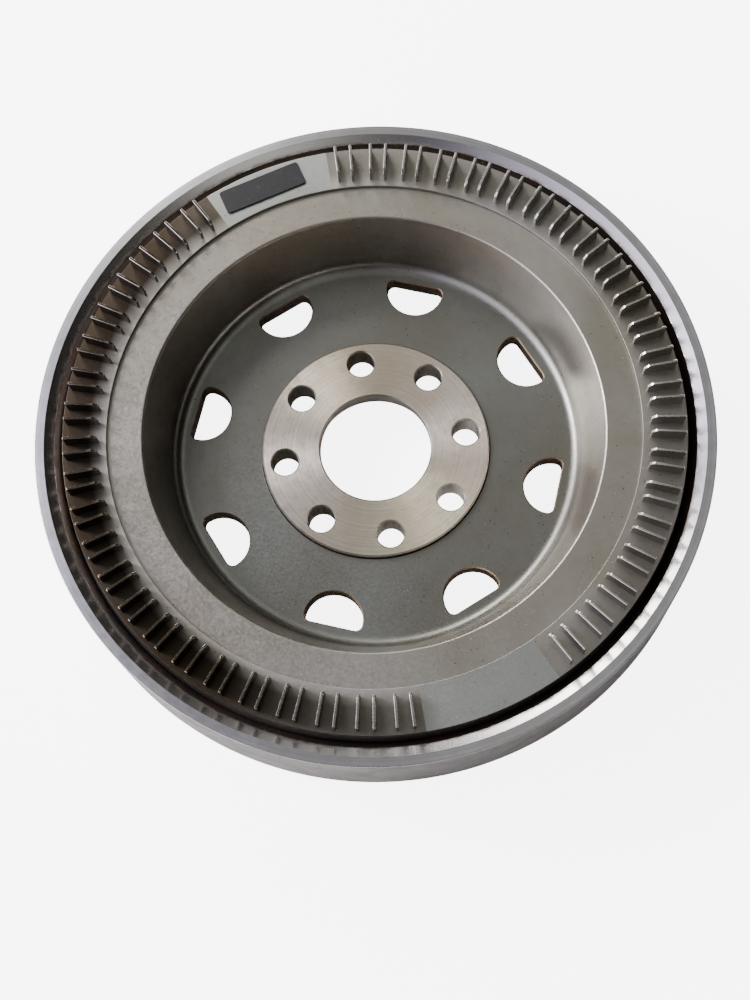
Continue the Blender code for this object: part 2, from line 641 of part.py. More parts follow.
# ---------------------------------------------------------------- bearing
def make_bearing(steel, bronze, friction, parent):
    """The large plain bearing that the output side turns on, and its friction stack."""
    turned("bearing_carrier", [
        (CARRIER_TUBE_INNER, RETAINER_Z),
        (CARRIER_TUBE_INNER, CARRIER_FOOT_Z + CARRIER_FOOT_THICKNESS),
        (CARRIER_FOOT_OUTER, CARRIER_FOOT_Z + CARRIER_FOOT_THICKNESS),
        (CARRIER_FOOT_OUTER, CARRIER_FOOT_Z),
        (CARRIER_TUBE_OUTER, CARRIER_FOOT_Z),
        (CARRIER_TUBE_OUTER, RETAINER_Z),
    ], steel, parent)
    turned("bearing_bush", [
        (BUSH_INNER_RADIUS, RECESS_TOP),
        (BUSH_INNER_RADIUS, OUTPUT_RING_TOP),
        (BUSH_OUTER_RADIUS, OUTPUT_RING_TOP),
        (BUSH_OUTER_RADIUS, RECESS_TOP),
    ], bronze, parent)
    turned("friction_washer", [
        (BUSH_INNER_RADIUS, WASHER_Z),
        (BUSH_INNER_RADIUS, WASHER_Z + WASHER_THICKNESS),
        (BUSH_INNER_RADIUS + CUP_SPRING_WIDTH, WASHER_Z + WASHER_THICKNESS),
        (BUSH_INNER_RADIUS + CUP_SPRING_WIDTH, WASHER_Z),
    ], friction, parent)
    cup_inner = CARRIER_TUBE_OUTER + FIT_GAP
    cup_outer = cup_inner + CUP_SPRING_WIDTH - FIT_GAP
    turned("cup_spring", [
        (cup_inner, CUP_SPRING_Z + CUP_SPRING_RISE),
        (cup_inner, CUP_SPRING_Z + CUP_SPRING_RISE + CUP_SPRING_THICKNESS),
        (cup_outer, CUP_SPRING_Z + CUP_SPRING_THICKNESS),
        (cup_outer, CUP_SPRING_Z),
    ], steel, parent)
    turned("retaining_ring", [
        (CARRIER_TUBE_OUTER + FIT_GAP, RETAINER_Z),
        (CARRIER_TUBE_OUTER + FIT_GAP, RETAINER_Z + RETAINER_THICKNESS),
        (RETAINER_OUTER_RADIUS, RETAINER_Z + RETAINER_THICKNESS),
        (RETAINER_OUTER_RADIUS, RETAINER_Z),
    ], steel, parent)


# ---------------------------------------------------------------- output side
def fastener_cutters():
    """Holes that the output ring and the foot of the flange share."""
    low = OUTPUT_RING_Z - PLATE_WALL
    high = FOOT_TOP + PLATE_WALL
    radius = FASTENER_CIRCLE_RADIUS
    rivets = [(radius, angle) for angle in spread(RIVET_COUNT)]
    drives = [(radius, angle) for angle in spread(DRIVE_HOLE_COUNT, math.pi / DRIVE_HOLE_COUNT)]
    dowels = [(radius, angle) for angle in spread(DOWEL_COUNT, DOWEL_ANGLE)]
    return [
        hole_cutter("rivet_hole_cutter", rivets, RIVET_RADIUS + FIT_GAP, low, high),
        hole_cutter("drive_hole_cutter", drives, DRIVE_HOLE_RADIUS, low, high),
        hole_cutter("dowel_hole_cutter", dowels, DOWEL_RADIUS + FIT_GAP, low, high),
    ]


def make_output(mat, parent):
    """The flange whose lugs push the springs, and the ring that it is riveted to."""
    flange = turned("output_flange", [
        (COLLAR_INNER_RADIUS, FOOT_Z),
        (COLLAR_INNER_RADIUS, LUG_TOP),
        (COLLAR_OUTER_RADIUS, LUG_TOP),
        (COLLAR_OUTER_RADIUS, FOOT_TOP),
        (OUTPUT_RING_OUTER_RADIUS, FOOT_TOP),
        (OUTPUT_RING_OUTER_RADIUS, FOOT_Z),
    ], mat, parent)
    lug_root = COLLAR_OUTER_RADIUS - COLLAR_WALL / 2
    lug_tip = SHELL_INNER_RADIUS - LUG_TIP_CLEARANCE
    lug_head = LUG_TOP - COLLAR_WALL / 8
    bm = bmesh.new()
    for angle in spread(2):
        outline = [(lug_root, LUG_Z), (lug_root, lug_head), (lug_tip, lug_head), (lug_tip, LUG_Z)]
        add_arc_block(bm, outline, angle - LUG_HALF_ANGLE, angle + LUG_HALF_ANGLE, 3)
    combine(flange, tool("lugs", bm), "UNION")
    ring = turned("output_ring", [
        (OUTPUT_RING_INNER_RADIUS, RECESS_TOP),
        (OUTPUT_RING_INNER_RADIUS, OUTPUT_RING_TOP),
        (OUTPUT_RING_OUTER_RADIUS, OUTPUT_RING_TOP),
        (OUTPUT_RING_OUTER_RADIUS, OUTPUT_RING_Z),
        (RETAINER_OUTER_RADIUS + RUN_GAP, OUTPUT_RING_Z),
        (RETAINER_OUTER_RADIUS + RUN_GAP, RECESS_TOP),
    ], mat, parent)
    for cutter in fastener_cutters():
        combine(flange, cutter, "DIFFERENCE")
        combine(ring, cutter, "DIFFERENCE")
    places = [(FASTENER_CIRCLE_RADIUS, angle) for angle in spread(RIVET_COUNT)]
    sink = hole_cutter("rivet_sink_cutter", places, RIVET_HEAD_RADIUS + FIT_GAP,
                       OUTPUT_RING_Z - PLATE_WALL, SINK_TOP)
    combine(ring, sink, "DIFFERENCE")


def make_rivets(mat, parent):
    """Rivets with one head sunk in the output ring and one on the flange."""
    sunk_head_top = RIVET_Z + RIVET_HEAD_HEIGHT
    high = FOOT_TOP + FIT_GAP
    outline = [
        (0.0, RIVET_Z),
        (RIVET_HEAD_RADIUS, RIVET_Z),
        (RIVET_HEAD_RADIUS, sunk_head_top),
        (RIVET_RADIUS, sunk_head_top),
        (RIVET_RADIUS, high),
        (RIVET_HEAD_RADIUS, high),
        (RIVET_HEAD_RADIUS * RIVET_HEAD_TAPER, high + RIVET_HEAD_HEIGHT - FIT_GAP),
        (0.0, high + RIVET_HEAD_HEIGHT - FIT_GAP),
    ]
    for number, angle in enumerate(spread(RIVET_COUNT), start=1):
        pin(f"flange_rivet_{number}", outline, polar(FASTENER_CIRCLE_RADIUS, angle), mat, parent)


def make_dowels(mat, parent):
    """Pins that centre whatever is bolted to the output ring."""
    bottom = OUTPUT_RING_Z - DOWEL_STANDOUT
    outline = [
        (0.0, bottom),
        (DOWEL_RADIUS - DOWEL_CHAMFER, bottom),
        (DOWEL_RADIUS, bottom + DOWEL_CHAMFER),
        (DOWEL_RADIUS, FOOT_TOP),
        (0.0, FOOT_TOP),
    ]
    for number, angle in enumerate(spread(DOWEL_COUNT, DOWEL_ANGLE), start=1):
        pin(f"drive_dowel_{number}", outline, polar(FASTENER_CIRCLE_RADIUS, angle), mat, parent)


def pin(name, outline, place, mat, parent, sides=12):
    """A solid turned pin. The outline runs from the axis out and back to the axis."""
    bm = bmesh.new()
    verts = [bm.verts.new((radius, 0.0, z)) for radius, z in outline]
    edges = [bm.edges.new(pair) for pair in zip(verts, verts[1:])]
    bmesh.ops.spin(bm, geom=verts + edges, cent=(0, 0, 0), axis=(0, 0, 1),
                   angle=math.tau, steps=sides, use_merge=True)
    bmesh.ops.remove_doubles(bm, verts=bm.verts, dist=1e-6)
    bmesh.ops.translate(bm, verts=bm.verts, vec=place)
    return finish(bm, name, mat, parent)


# ---------------------------------------------------------------- assembly
def axis_empty(name):
    empty = bpy.data.objects.new(name, None)
    bpy.context.scene.collection.objects.link(empty)
    return empty


def main():
    clear_scene()
    primary = axis_empty("primary_axis")
    output = axis_empty("output_axis")
    pressed = material("pressed_steel", (0.26, 0.25, 0.23), 0.75, 0.50)
    turned_steel = material("turned_steel", (0.60, 0.58, 0.54), 1.0, 0.28)
    rim_steel = material("rim_steel", (0.40, 0.41, 0.43), 1.0, 0.38)
    label_paint = material("label_paint", (0.05, 0.05, 0.055), 0.0, 0.55)
    spring_steel = material("spring_steel", (0.16, 0.16, 0.17), 1.0, 0.35)
    gear_steel = material("gear_steel", (0.28, 0.27, 0.26), 1.0, 0.42)
    bronze = material("bearing_bronze", (0.48, 0.33, 0.14), 1.0, 0.35)
    polymer = material("friction_polymer", (0.10, 0.09, 0.07), 0.0, 0.60)
    make_primary_plate(pressed, primary)
    make_hub(turned_steel, primary)
    make_rim(rim_steel, primary)
    make_starter_gear(gear_steel, primary)
    make_fin_ring(pressed, primary)
    make_label(label_paint, primary)
    make_cover(pressed, primary)
    make_weights(gear_steel, primary)
    make_slide_shells(spring_steel, primary)
    make_arc_springs(spring_steel, primary)
    make_stops(gear_steel, primary)
    make_seals(spring_steel, primary)
    make_bearing(gear_steel, bronze, polymer, primary)
    make_output(gear_steel, output)
    make_rivets(turned_steel, output)
    make_dowels(turned_steel, output)


main()
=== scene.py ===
# %% [markdown]
# # A dual-mass flywheel, seen from the crankshaft side
# The part is a deep pressed dish with a bright turned hub in the middle, a flat
# annulus round the dish, a thin ring of cooling fins laid on the annulus, and a
# heavy rim outside that. Two arc springs lie hidden in the channel behind the
# annulus. This lesson builds the visible metal in fine steps and gives each
# surface the finish that the workshop left on it, with painted shade and a
# painted highlight added in a few places.

# %% Load the fixed frame
import math

import bmesh
import bpy
from mathutils import Matrix, Vector


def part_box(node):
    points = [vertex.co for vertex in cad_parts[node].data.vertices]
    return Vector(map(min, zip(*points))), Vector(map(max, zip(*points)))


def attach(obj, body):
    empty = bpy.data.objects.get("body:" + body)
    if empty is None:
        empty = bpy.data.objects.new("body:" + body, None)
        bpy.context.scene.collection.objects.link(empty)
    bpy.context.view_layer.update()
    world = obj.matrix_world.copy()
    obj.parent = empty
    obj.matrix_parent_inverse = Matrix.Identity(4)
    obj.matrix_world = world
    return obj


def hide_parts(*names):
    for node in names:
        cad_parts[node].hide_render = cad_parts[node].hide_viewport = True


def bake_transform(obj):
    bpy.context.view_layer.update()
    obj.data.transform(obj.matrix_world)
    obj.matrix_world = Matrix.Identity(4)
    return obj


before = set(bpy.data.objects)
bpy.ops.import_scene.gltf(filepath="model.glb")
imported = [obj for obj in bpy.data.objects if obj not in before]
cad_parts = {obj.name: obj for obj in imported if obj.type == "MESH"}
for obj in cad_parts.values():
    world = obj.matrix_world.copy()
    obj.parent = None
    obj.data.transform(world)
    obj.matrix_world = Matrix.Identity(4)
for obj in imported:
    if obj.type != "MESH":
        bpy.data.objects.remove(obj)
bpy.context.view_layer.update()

# %% [markdown]
# Everything on this part is turned about one axis, so sizes are radii and
# heights. The heights come from the frame's boxes. The radii that no box gives
# are named here once, with the fillets and edge breaks that the simple frame
# solids leave out.

# %% Heights from the frame
plate_low, plate_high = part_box("primary_plate")
hub_low, hub_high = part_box("crank_hub")
rim_low, rim_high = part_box("rim_ring")
fins_low, fins_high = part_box("cooling_fin_ring")
cover_low, cover_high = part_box("channel_cover")
gear_low, gear_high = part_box("starter_ring_gear")
ring_low, ring_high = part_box("output_ring")
flange_low, flange_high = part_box("output_flange")
carrier_low, carrier_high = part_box("bearing_carrier")

FLOOR_THICKNESS = 0.0080
WALL = 0.0045
FLOOR_Z = plate_low.z
FLOOR_TOP = FLOOR_Z + FLOOR_THICKNESS
ANNULUS_TOP = plate_high.z
ANNULUS_Z = ANNULUS_TOP - WALL
PLATE_RADIUS = plate_high.x
RIM_RADIUS = rim_high.x
EDGE_BREAK = 0.0004
AROUND = 288
print("dish depth in mm:", round(1000 * (ANNULUS_TOP - FLOOR_TOP), 1))


# %% [markdown]
# A turned part is an outline spun round the axis. The outline is a short list
# of corners, each with its own rounding, and the rounding is worked out as an
# arc. This keeps every fillet a single number that is easy to change.

# %% Outlines with rounded corners
HOLD = 0.15  # an extra point each side of a bend, as a share of its rounding


def rounded(corners, steps=5):
    """A closed outline of (x, y) points from corners given as (x, y, rounding)."""
    outline = []
    count = len(corners)
    for index, (x, y, rounding) in enumerate(corners):
        here = Vector((x, y))
        if rounding <= 0:
            outline.append((x, y))
            continue
        before = Vector(corners[index - 1][:2]) - here
        after = Vector(corners[(index + 1) % count][:2]) - here
        half = before.angle(after) / 2
        reach = rounding / math.tan(half)
        middle = here + (before.normalized() + after.normalized()).normalized() * rounding / math.sin(half)
        start = here + before.normalized() * reach - middle
        end = here + after.normalized() * reach - middle
        sweep = start.angle_signed(end)
        hold = HOLD * rounding
        outline.append(tuple(here + before.normalized() * (reach + hold)))
        for step in range(steps + 1):
            turn = Matrix.Rotation(-sweep * step / steps, 2)
            outline.append(tuple(middle + turn @ start))
        outline.append(tuple(here + after.normalized() * (reach + hold)))
    return outline


def polar(radius, angle, z=0.0):
    return Vector((radius * math.cos(angle), radius * math.sin(angle), z))


def spread(count, first=0.0):
    """Angles of count things spaced evenly round the axis."""
    return [first + math.tau * k / count for k in range(count)]


# %% [markdown]
# Spin makes the ring. It is given use_merge so that the last step closes on the
# first, and the normals are recalculated because a profile can be drawn either
# way round. A cutter for holes is one outline at several heights, each a little
# larger or smaller and bridged to the next, so that a hole gets its edge break
# in the same cut.

# %% Spin, raise and sweep
MERGE_DISTANCE = 1e-6


def loop(bm, points):
    verts = [bm.verts.new(point) for point in points]
    edges = [bm.edges.new((verts[i - 1], verts[i])) for i in range(len(verts))]
    return verts, edges


def spin_ring(bm, outline, around=AROUND):
    verts, edges = loop(bm, [(radius, 0.0, z) for radius, z in outline])
    bmesh.ops.spin(bm, geom=verts + edges, cent=(0, 0, 0), axis=(0, 0, 1),
                   angle=math.tau, steps=around, use_merge=True)


def spin_pin(bm, outline, place, around=40):
    """Spin an open outline that starts and ends on its own axis."""
    verts = [bm.verts.new((radius, 0.0, z)) for radius, z in outline]
    edges = [bm.edges.new(pair) for pair in zip(verts, verts[1:])]
    bmesh.ops.spin(bm, geom=verts + edges, cent=(0, 0, 0), axis=(0, 0, 1),
                   angle=math.tau, steps=around, use_merge=True)
    bmesh.ops.remove_doubles(bm, verts=bm.verts, dist=MERGE_DISTANCE)
    bmesh.ops.translate(bm, verts=bm.verts, vec=place)


def grown(outline, by):
    """A counter-clockwise (x, y) outline with each point moved outwards by a distance."""
    moved = []
    for index, point in enumerate(outline):
        along = Vector(outline[(index + 1) % len(outline)]) - Vector(outline[index - 1])
        along.normalize()
        moved.append((point[0] + by * along.y, point[1] - by * along.x))
    return moved


def raise_levels(bm, outline, levels, place):
    """A closed solid through (height, growth) copies of one outline."""
    rings = []
    for height, by in levels:
        rings.append(loop(bm, [place @ Vector((x, y, height)) for x, y in grown(outline, by)])[1])
    for low, high in zip(rings, rings[1:]):
        bmesh.ops.bridge_loops(bm, edges=low + high)
    for ring in (rings[0], rings[-1]):
        bmesh.ops.contextual_create(bm, geom=ring)


def circle_outline(radius, sides=48):
    return [tuple(polar(radius, angle).xy) for angle in spread(sides, math.pi / sides)]


def sector(inner, outer, start, end, steps=16):
    """The outline of a piece of ring between two angles."""
    arc = [start + (end - start) * step / steps for step in range(steps + 1)]
    outline = [tuple(polar(inner, angle).xy) for angle in arc[::-1]]
    return outline + [tuple(polar(outer, angle).xy) for angle in arc]


# %% [markdown]
# Finishing a piece is always the same: normals out, smooth shading with sharp
# edges kept, one mesh at the origin. A hole pattern is one joined cutter, taken
# away with an exact Boolean whose result is kept as plain mesh.

# %% Finish and cut
def to_object(bm, name, mats):
    bmesh.ops.recalc_face_normals(bm, faces=bm.faces)
    mesh = bpy.data.meshes.new(name)
    bm.to_mesh(mesh)
    bm.free()
    obj = bpy.data.objects.new(name, mesh)
    bpy.context.scene.collection.objects.link(obj)
    for mat in mats:
        mesh.materials.append(mat)
    return obj


def smooth(obj, angle=30.0):
    obj.data.shade_smooth()
    obj.data.set_sharp_from_angle(angle=math.radians(angle))


def keep_result(obj):
    """Replace an object's mesh by what its modifiers make of it."""
    bpy.context.view_layer.update()
    graph = bpy.context.evaluated_depsgraph_get()
    mesh = bpy.data.meshes.new_from_object(obj.evaluated_get(graph))
    obj.modifiers.clear()
    obj.data = mesh


def combine(obj, other, operation="DIFFERENCE"):
    boolean = obj.modifiers.new("combine", "BOOLEAN")
    boolean.operation = operation
    boolean.solver = "EXACT"
    boolean.object = other
    keep_result(obj)
    bpy.data.objects.remove(other, do_unlink=True)


def mount(obj, body, replaced):
    """Hang a finished piece on its body, in place of the frame's plain solid."""
    smooth(obj)
    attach(obj, body)
    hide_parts(replaced)
    print(f"{obj.name}: {len(obj.data.polygons)} faces")


def ring_piece(name, outline, mat, body, replaced):
    bm = bmesh.new()
    spin_ring(bm, outline)
    mount(to_object(bm, name, [mat]), body, replaced)


# %% [markdown]
# A finish is a small network of nodes on the metal shader. Three measures are
# used again and again: the place on the part, the distance from the axis, and
# the angle round it. Noise on the place gives stains and grain. Noise on the
# distance alone gives the fine rings of a turned face, because a lathe tool
# leaves the same height all the way round.

# %% Helpers for finishes
def node(tree, kind, inputs=None, **settings):
    """A new node. Each input is a plain value, or a socket to be linked."""
    made = tree.nodes.new(kind)
    for key, value in settings.items():
        setattr(made, key, value)
    for key, value in (inputs or {}).items():
        if isinstance(value, bpy.types.NodeSocket):
            tree.links.new(value, made.inputs[key])
        else:
            made.inputs[key].default_value = value
    return made


class Finish:
    """One metal finish: its material, and the measures that its patterns use."""

    def __init__(self, name, **constants):
        self.mat = bpy.data.materials.new(name)
        self.mat.use_nodes = True
        self.tree = self.mat.node_tree
        self.shader = self.tree.nodes["Principled BSDF"]
        for key, value in constants.items():
            self.shader.inputs[key.replace("_", " ")].default_value = value
        self.place = node(self.tree, "ShaderNodeTexCoord").outputs["Object"]
        flat = node(self.tree, "ShaderNodeVectorMath", {0: self.place, 1: (1, 1, 0)}, operation="MULTIPLY")
        length = node(self.tree, "ShaderNodeVectorMath", {0: flat.outputs[0]}, operation="LENGTH")
        self.radius = length.outputs["Value"]

    def grain(self, scale, detail=4.0, roughness=0.55, stretch=(1, 1, 1), distortion=0.0):
        where = node(self.tree, "ShaderNodeVectorMath", {0: self.place, 1: stretch}, operation="MULTIPLY")
        return node(self.tree, "ShaderNodeTexNoise", {
            "Vector": where.outputs[0], "Scale": scale, "Detail": detail, "Roughness": roughness,
            "Distortion": distortion}).outputs["Fac"]

    def rings(self, per_metre, detail=2.0):
        return node(self.tree, "ShaderNodeTexNoise", {
            "W": self.radius, "Scale": per_metre, "Detail": detail, "Roughness": 0.7},
            noise_dimensions="1D").outputs["Fac"]

    def spots(self, scale, size):
        """1 inside small scattered spots, 0 elsewhere."""
        cells = node(self.tree, "ShaderNodeTexVoronoi", {"Vector": self.place, "Scale": scale})
        return self.remap(cells.outputs["Distance"], size, size * 0.6)

    def remap(self, value, low, high, to_low=0.0, to_high=1.0):
        return node(self.tree, "ShaderNodeMapRange", {
            "Value": value, "From Min": low, "From Max": high,
            "To Min": to_low, "To Max": to_high}).outputs[0]

    def math(self, kind, first, second=0.0):
        return node(self.tree, "ShaderNodeMath", {0: first, 1: second}, operation=kind).outputs[0]

    def mix(self, share, first, second, kind="MIX"):
        made = node(self.tree, "ShaderNodeMix", data_type="RGBA", blend_type=kind)
        for index, value in ((0, share), (6, first), (7, second)):
            if isinstance(value, bpy.types.NodeSocket):
                self.tree.links.new(value, made.inputs[index])
            elif index:
                made.inputs[index].default_value = (*value, 1.0)
            else:
                made.inputs[index].default_value = value
        return made.outputs[2]

    def feed(self, key, value):
        self.tree.links.new(value, self.shader.inputs[key])

    def bump(self, height, distance, strength=1.0):
        self.feed("Normal", node(self.tree, "ShaderNodeBump", {
            "Height": height, "Distance": distance, "Strength": strength}).outputs[0])

    def turned_tangent(self):
        made = node(self.tree, "ShaderNodeTangent", direction_type="RADIAL", axis="Z")
        self.feed("Tangent", made.outputs[0])


# %% [markdown]
# Pressed sheet steel is satin grey. Broad faint stains shift it towards olive
# and brown, a fine grain breaks up the gloss, and tiny pale specks and darker
# pits are left from washing and handling. The scale of each noise follows the
# real marks: stains of a few centimetres, grain of well under a millimetre. Painted
# shade can darken a pressing by height or by distance from the axis, more on one side.

# %% Pressed steel
LIT_SIDE_X = 0.04
SHADED_SIDE_X = -0.08


def pressed_finish(name, light, stain, rough, painted_shade=None):
    finish = Finish(name, Metallic=1.0)
    broad = finish.remap(finish.grain(16.0, 3.0, 0.5, distortion=0.4), 0.38, 0.66)
    fine = finish.grain(900.0, 3.0, 0.6)
    middle = finish.grain(140.0, 6.0, 0.65, distortion=0.3)
    colour = finish.mix(broad, light, stain)
    colour = finish.mix(finish.remap(middle, 0.45, 0.75, 0.0, 0.30), colour,
                        [0.62 * value for value in stain])
    colour = finish.mix(finish.math("MULTIPLY", finish.spots(520.0, 0.13), finish.remap(middle, 0.5, 0.6)),
                        colour, (0.80, 0.79, 0.74))
    colour = finish.mix(finish.math("MULTIPLY", finish.spots(310.0, 0.11), finish.remap(broad, 0.3, 0.7)),
                        colour, (0.10, 0.09, 0.075))
    # Painted shade: the colour is darkened towards one height or radius, and more on one side, where shade
    # falls.
    if painted_shade:
        measure, unshaded_at, fully_shaded_at, shade_tint, lit_side_share = painted_shade
        apart = node(finish.tree, "ShaderNodeSeparateXYZ", {0: finish.place})
        where = finish.radius if measure == "radius" else apart.outputs["Z"]
        side = finish.remap(apart.outputs["X"], LIT_SIDE_X, SHADED_SIDE_X, lit_side_share, 1.0)
        share = finish.math("MULTIPLY", finish.remap(where, unshaded_at, fully_shaded_at), side)
        colour = finish.mix(share, colour, finish.mix(1.0, colour, shade_tint, "MULTIPLY"))
    finish.feed("Base Color", colour)
    uneven = finish.math("ADD", finish.remap(middle, 0.3, 0.7, -0.02, 0.03),
                         finish.remap(fine, 0.3, 0.7, -0.05, 0.06))
    finish.feed("Roughness", finish.math("ADD", uneven, rough))
    finish.bump(finish.math("ADD", fine, finish.math("MULTIPLY", middle, 0.8)), 0.00003, 0.6)
    return finish.mat


# Painted shade: the dish darkens towards its floor, where its wall shades it.
DISH_SHADE_TOP_Z = FLOOR_TOP + 0.0070
DISH_SHADE_FULL_Z = FLOOR_TOP + 0.0005
PRESSED = pressed_finish("pressed satin steel", (0.44, 0.43, 0.395), (0.36, 0.335, 0.285), 0.36,
                         painted_shade=("height", DISH_SHADE_TOP_Z, DISH_SHADE_FULL_Z, (0.55, 0.58, 0.59), 1.0))
PUNCHED_EDGE = pressed_finish("punched edges, browned", (0.30, 0.235, 0.16), (0.19, 0.13, 0.085), 0.42)
PRESSED_BACK = pressed_finish("pressed steel, oiled", (0.40, 0.39, 0.37), (0.30, 0.28, 0.24), 0.36)
WEIGHT_STEEL = pressed_finish("weight steel", (0.46, 0.45, 0.42), (0.32, 0.29, 0.24), 0.42)
print("pressed finishes made")


# %% [markdown]
# A turned face reflects as a bow tie, because every groove runs round the axis
# and spreads the light across itself. The shader does this with its anisotropy
# and a tangent that follows the axis. Noise on the distance from the axis adds
# grooves that can be seen one by one, in colour, gloss and height.

# %% Turned steel
def turned_finish(name, light, stain, rough, spread_of_light, coarse=0.35, specks=0.0):
    finish = Finish(name, Metallic=1.0, Anisotropic=spread_of_light, Anisotropic_Rotation=0.25)
    fine = finish.rings(5200.0)
    wide = finish.rings(900.0, 3.0)
    broad = finish.remap(finish.grain(30.0, 5.0, 0.6, distortion=0.8), 0.42, 0.70)
    middle = finish.grain(240.0, 5.0, 0.6)
    colour = finish.mix(finish.remap(wide, 0.35, 0.68), light, [0.80 * value for value in light])
    colour = finish.mix(finish.math("MULTIPLY", broad, 0.75), colour, stain)
    colour = finish.mix(finish.remap(fine, 0.55, 0.75, 0.0, 0.35), colour, [0.5 * value for value in light])
    if specks:
        shown = finish.math("MULTIPLY", finish.spots(430.0, 0.16),
                            finish.remap(finish.grain(60.0), 0.52, 0.60))
        colour = finish.mix(finish.math("MULTIPLY", shown, specks), colour, (0.82, 0.77, 0.58))
    finish.feed("Base Color", colour)
    uneven = finish.math("ADD", finish.remap(fine, 0.3, 0.7, -0.04, 0.06),
                         finish.remap(middle, 0.35, 0.7, -0.02, 0.05))
    finish.feed("Roughness", finish.math("ADD", uneven, rough))
    height = finish.math("ADD", finish.math("MULTIPLY", fine, coarse), finish.math("MULTIPLY", wide, 0.4))
    finish.bump(height, 0.00002, 0.5)
    finish.turned_tangent()
    return finish.mat


HUB_FACE = turned_finish("turned hub face", (0.92, 0.84, 0.71), (0.68, 0.56, 0.42), 0.29, 0.82, specks=0.9)
HUB_SIDE = turned_finish("turned hub, oiled sides", (0.42, 0.40, 0.35), (0.26, 0.22, 0.16), 0.36, 0.3)
TURNED_BACK = turned_finish("turned steel ring", (0.52, 0.50, 0.47), (0.36, 0.32, 0.27), 0.32, 0.5)
OUTPUT_STEEL = turned_finish("turned output steel", (0.50, 0.49, 0.46), (0.34, 0.30, 0.25), 0.34, 0.5)
RIM_FACE = turned_finish("turned rim face", (0.49, 0.49, 0.515), (0.37, 0.36, 0.36), 0.36, 0.50, specks=0.5)
RIM_BACK = turned_finish("turned rim, rear", (0.44, 0.43, 0.41), (0.30, 0.27, 0.23), 0.36, 0.4)
print("turned finishes made")

# %% [markdown]
# The slope inside the rim face is the smoothest cut on the part, so it shows
# the room almost as a mirror, with rust along its lower edge. The groove below
# it is painted nearly black as shade, with a few brown patches. The outer wall
# is olive and brown, and noise that is squeezed along the axis gives it the
# fine level lines of the lathe.

# %% The rest of the rim
RUST_START_RADIUS = 0.1418
RUST_FULL_RADIUS = 0.1402


def rim_slope_finish():
    finish = Finish("turned rim slope", Metallic=1.0, Anisotropic=0.3, Anisotropic_Rotation=0.25)
    rings = finish.rings(4200.0)
    rust = finish.math("MULTIPLY", finish.remap(finish.radius, RUST_START_RADIUS, RUST_FULL_RADIUS),
                       finish.remap(finish.grain(110.0, 5.0, 0.7), 0.38, 0.60))
    colour = finish.mix(finish.remap(rings, 0.4, 0.7, 0.0, 0.4), (0.62, 0.61, 0.61), (0.44, 0.42, 0.41))
    colour = finish.mix(rust, colour, (0.12, 0.08, 0.05))
    nick = finish.math("MULTIPLY", finish.spots(360.0, 0.14), finish.remap(finish.grain(45.0), 0.5, 0.62))
    colour = finish.mix(nick, colour, (0.85, 0.83, 0.80))
    finish.feed("Base Color", colour)
    finish.feed("Roughness", finish.math("ADD", finish.math("MULTIPLY", rust, 0.25),
                                         finish.remap(rings, 0.3, 0.7, 0.17, 0.27)))
    finish.bump(rings, 0.00002, 0.4)
    finish.turned_tangent()
    return finish.mat


def dark_oil_and_shade_finish(name, dark, brown, rough, streaks=0.0):
    finish = Finish(name, Metallic=0.85)
    patch = finish.remap(finish.grain(70.0, 6.0, 0.7, distortion=0.5), 0.40, 0.66)
    fine = finish.grain(800.0, 3.0, 0.6)
    colour = finish.mix(patch, dark, brown)
    if streaks:
        lines = finish.grain(60.0, 5.0, 0.6, stretch=(0.5, 0.5, 30.0))
        colour = finish.mix(finish.remap(lines, 0.42, 0.64, 0.0, streaks), colour,
                            [0.5 * value for value in brown])
    colour = finish.mix(finish.math("MULTIPLY", finish.spots(480.0, 0.12), finish.remap(patch, 0.3, 0.8)),
                        colour, (0.55, 0.50, 0.44))
    finish.feed("Base Color", colour)
    finish.feed("Roughness", finish.math("ADD", finish.remap(patch, 0.0, 1.0, 0.0, 0.16),
                                         finish.remap(fine, 0.3, 0.7, rough - 0.04, rough + 0.06)))
    finish.bump(finish.math("ADD", fine, patch), 0.00005, 0.5)
    return finish.mat


RIM_SLOPE = rim_slope_finish()
# Painted shade: the groove's near-black base stands for the shade in the recess, with brown patches.
RIM_GROOVE_SHADE = dark_oil_and_shade_finish("groove, painted shade", (0.060, 0.053, 0.048), (0.095, 0.055, 0.042), 0.34)
RIM_WALL = dark_oil_and_shade_finish("rim outer wall", (0.34, 0.33, 0.295), (0.28, 0.255, 0.205), 0.38, streaks=0.5)
GEAR_STEEL = dark_oil_and_shade_finish("hardened gear steel", (0.30, 0.29, 0.28), (0.20, 0.17, 0.13), 0.30)
SPRING_STEEL = dark_oil_and_shade_finish("greased spring steel", (0.20, 0.20, 0.20), (0.13, 0.11, 0.08), 0.24)
print("rim, gear and spring finishes made")


# %% [markdown]
# The fin ring is thin sheet. Its faces are dull and olive, and the narrow
# top edges of the fins carry a near-white painted highlight, a finish of their
# own. The label is dark matt paint, the bush is bronze and the washer polymer.

# %% Fin sheet, label, bronze and washer
# Painted shade: the sheet between the fins darkens towards the outer edge, and more on one side, where the
# fins and the rim shade it.
FIN_LIT_RADIUS = 0.1172
FIN_SHADED_RADIUS = 0.1245
FIN_SHEET = pressed_finish("dull fin sheet", (0.43, 0.45, 0.43), (0.35, 0.37, 0.34), 0.40)
FIN_PAINTED_SHADE = pressed_finish("fin sheet, soiled between fins", (0.46, 0.45, 0.42), (0.36, 0.34, 0.29), 0.42,
                            painted_shade=("radius", FIN_LIT_RADIUS, FIN_SHADED_RADIUS,
                                    (0.13, 0.105, 0.08), 0.30))
# Painted highlight: a near-white base on the edge bevels of the fin tops and of the rim face.
EDGE_HIGHLIGHT = pressed_finish("rubbed fin edges", (0.86, 0.85, 0.82), (0.62, 0.58, 0.50), 0.24)


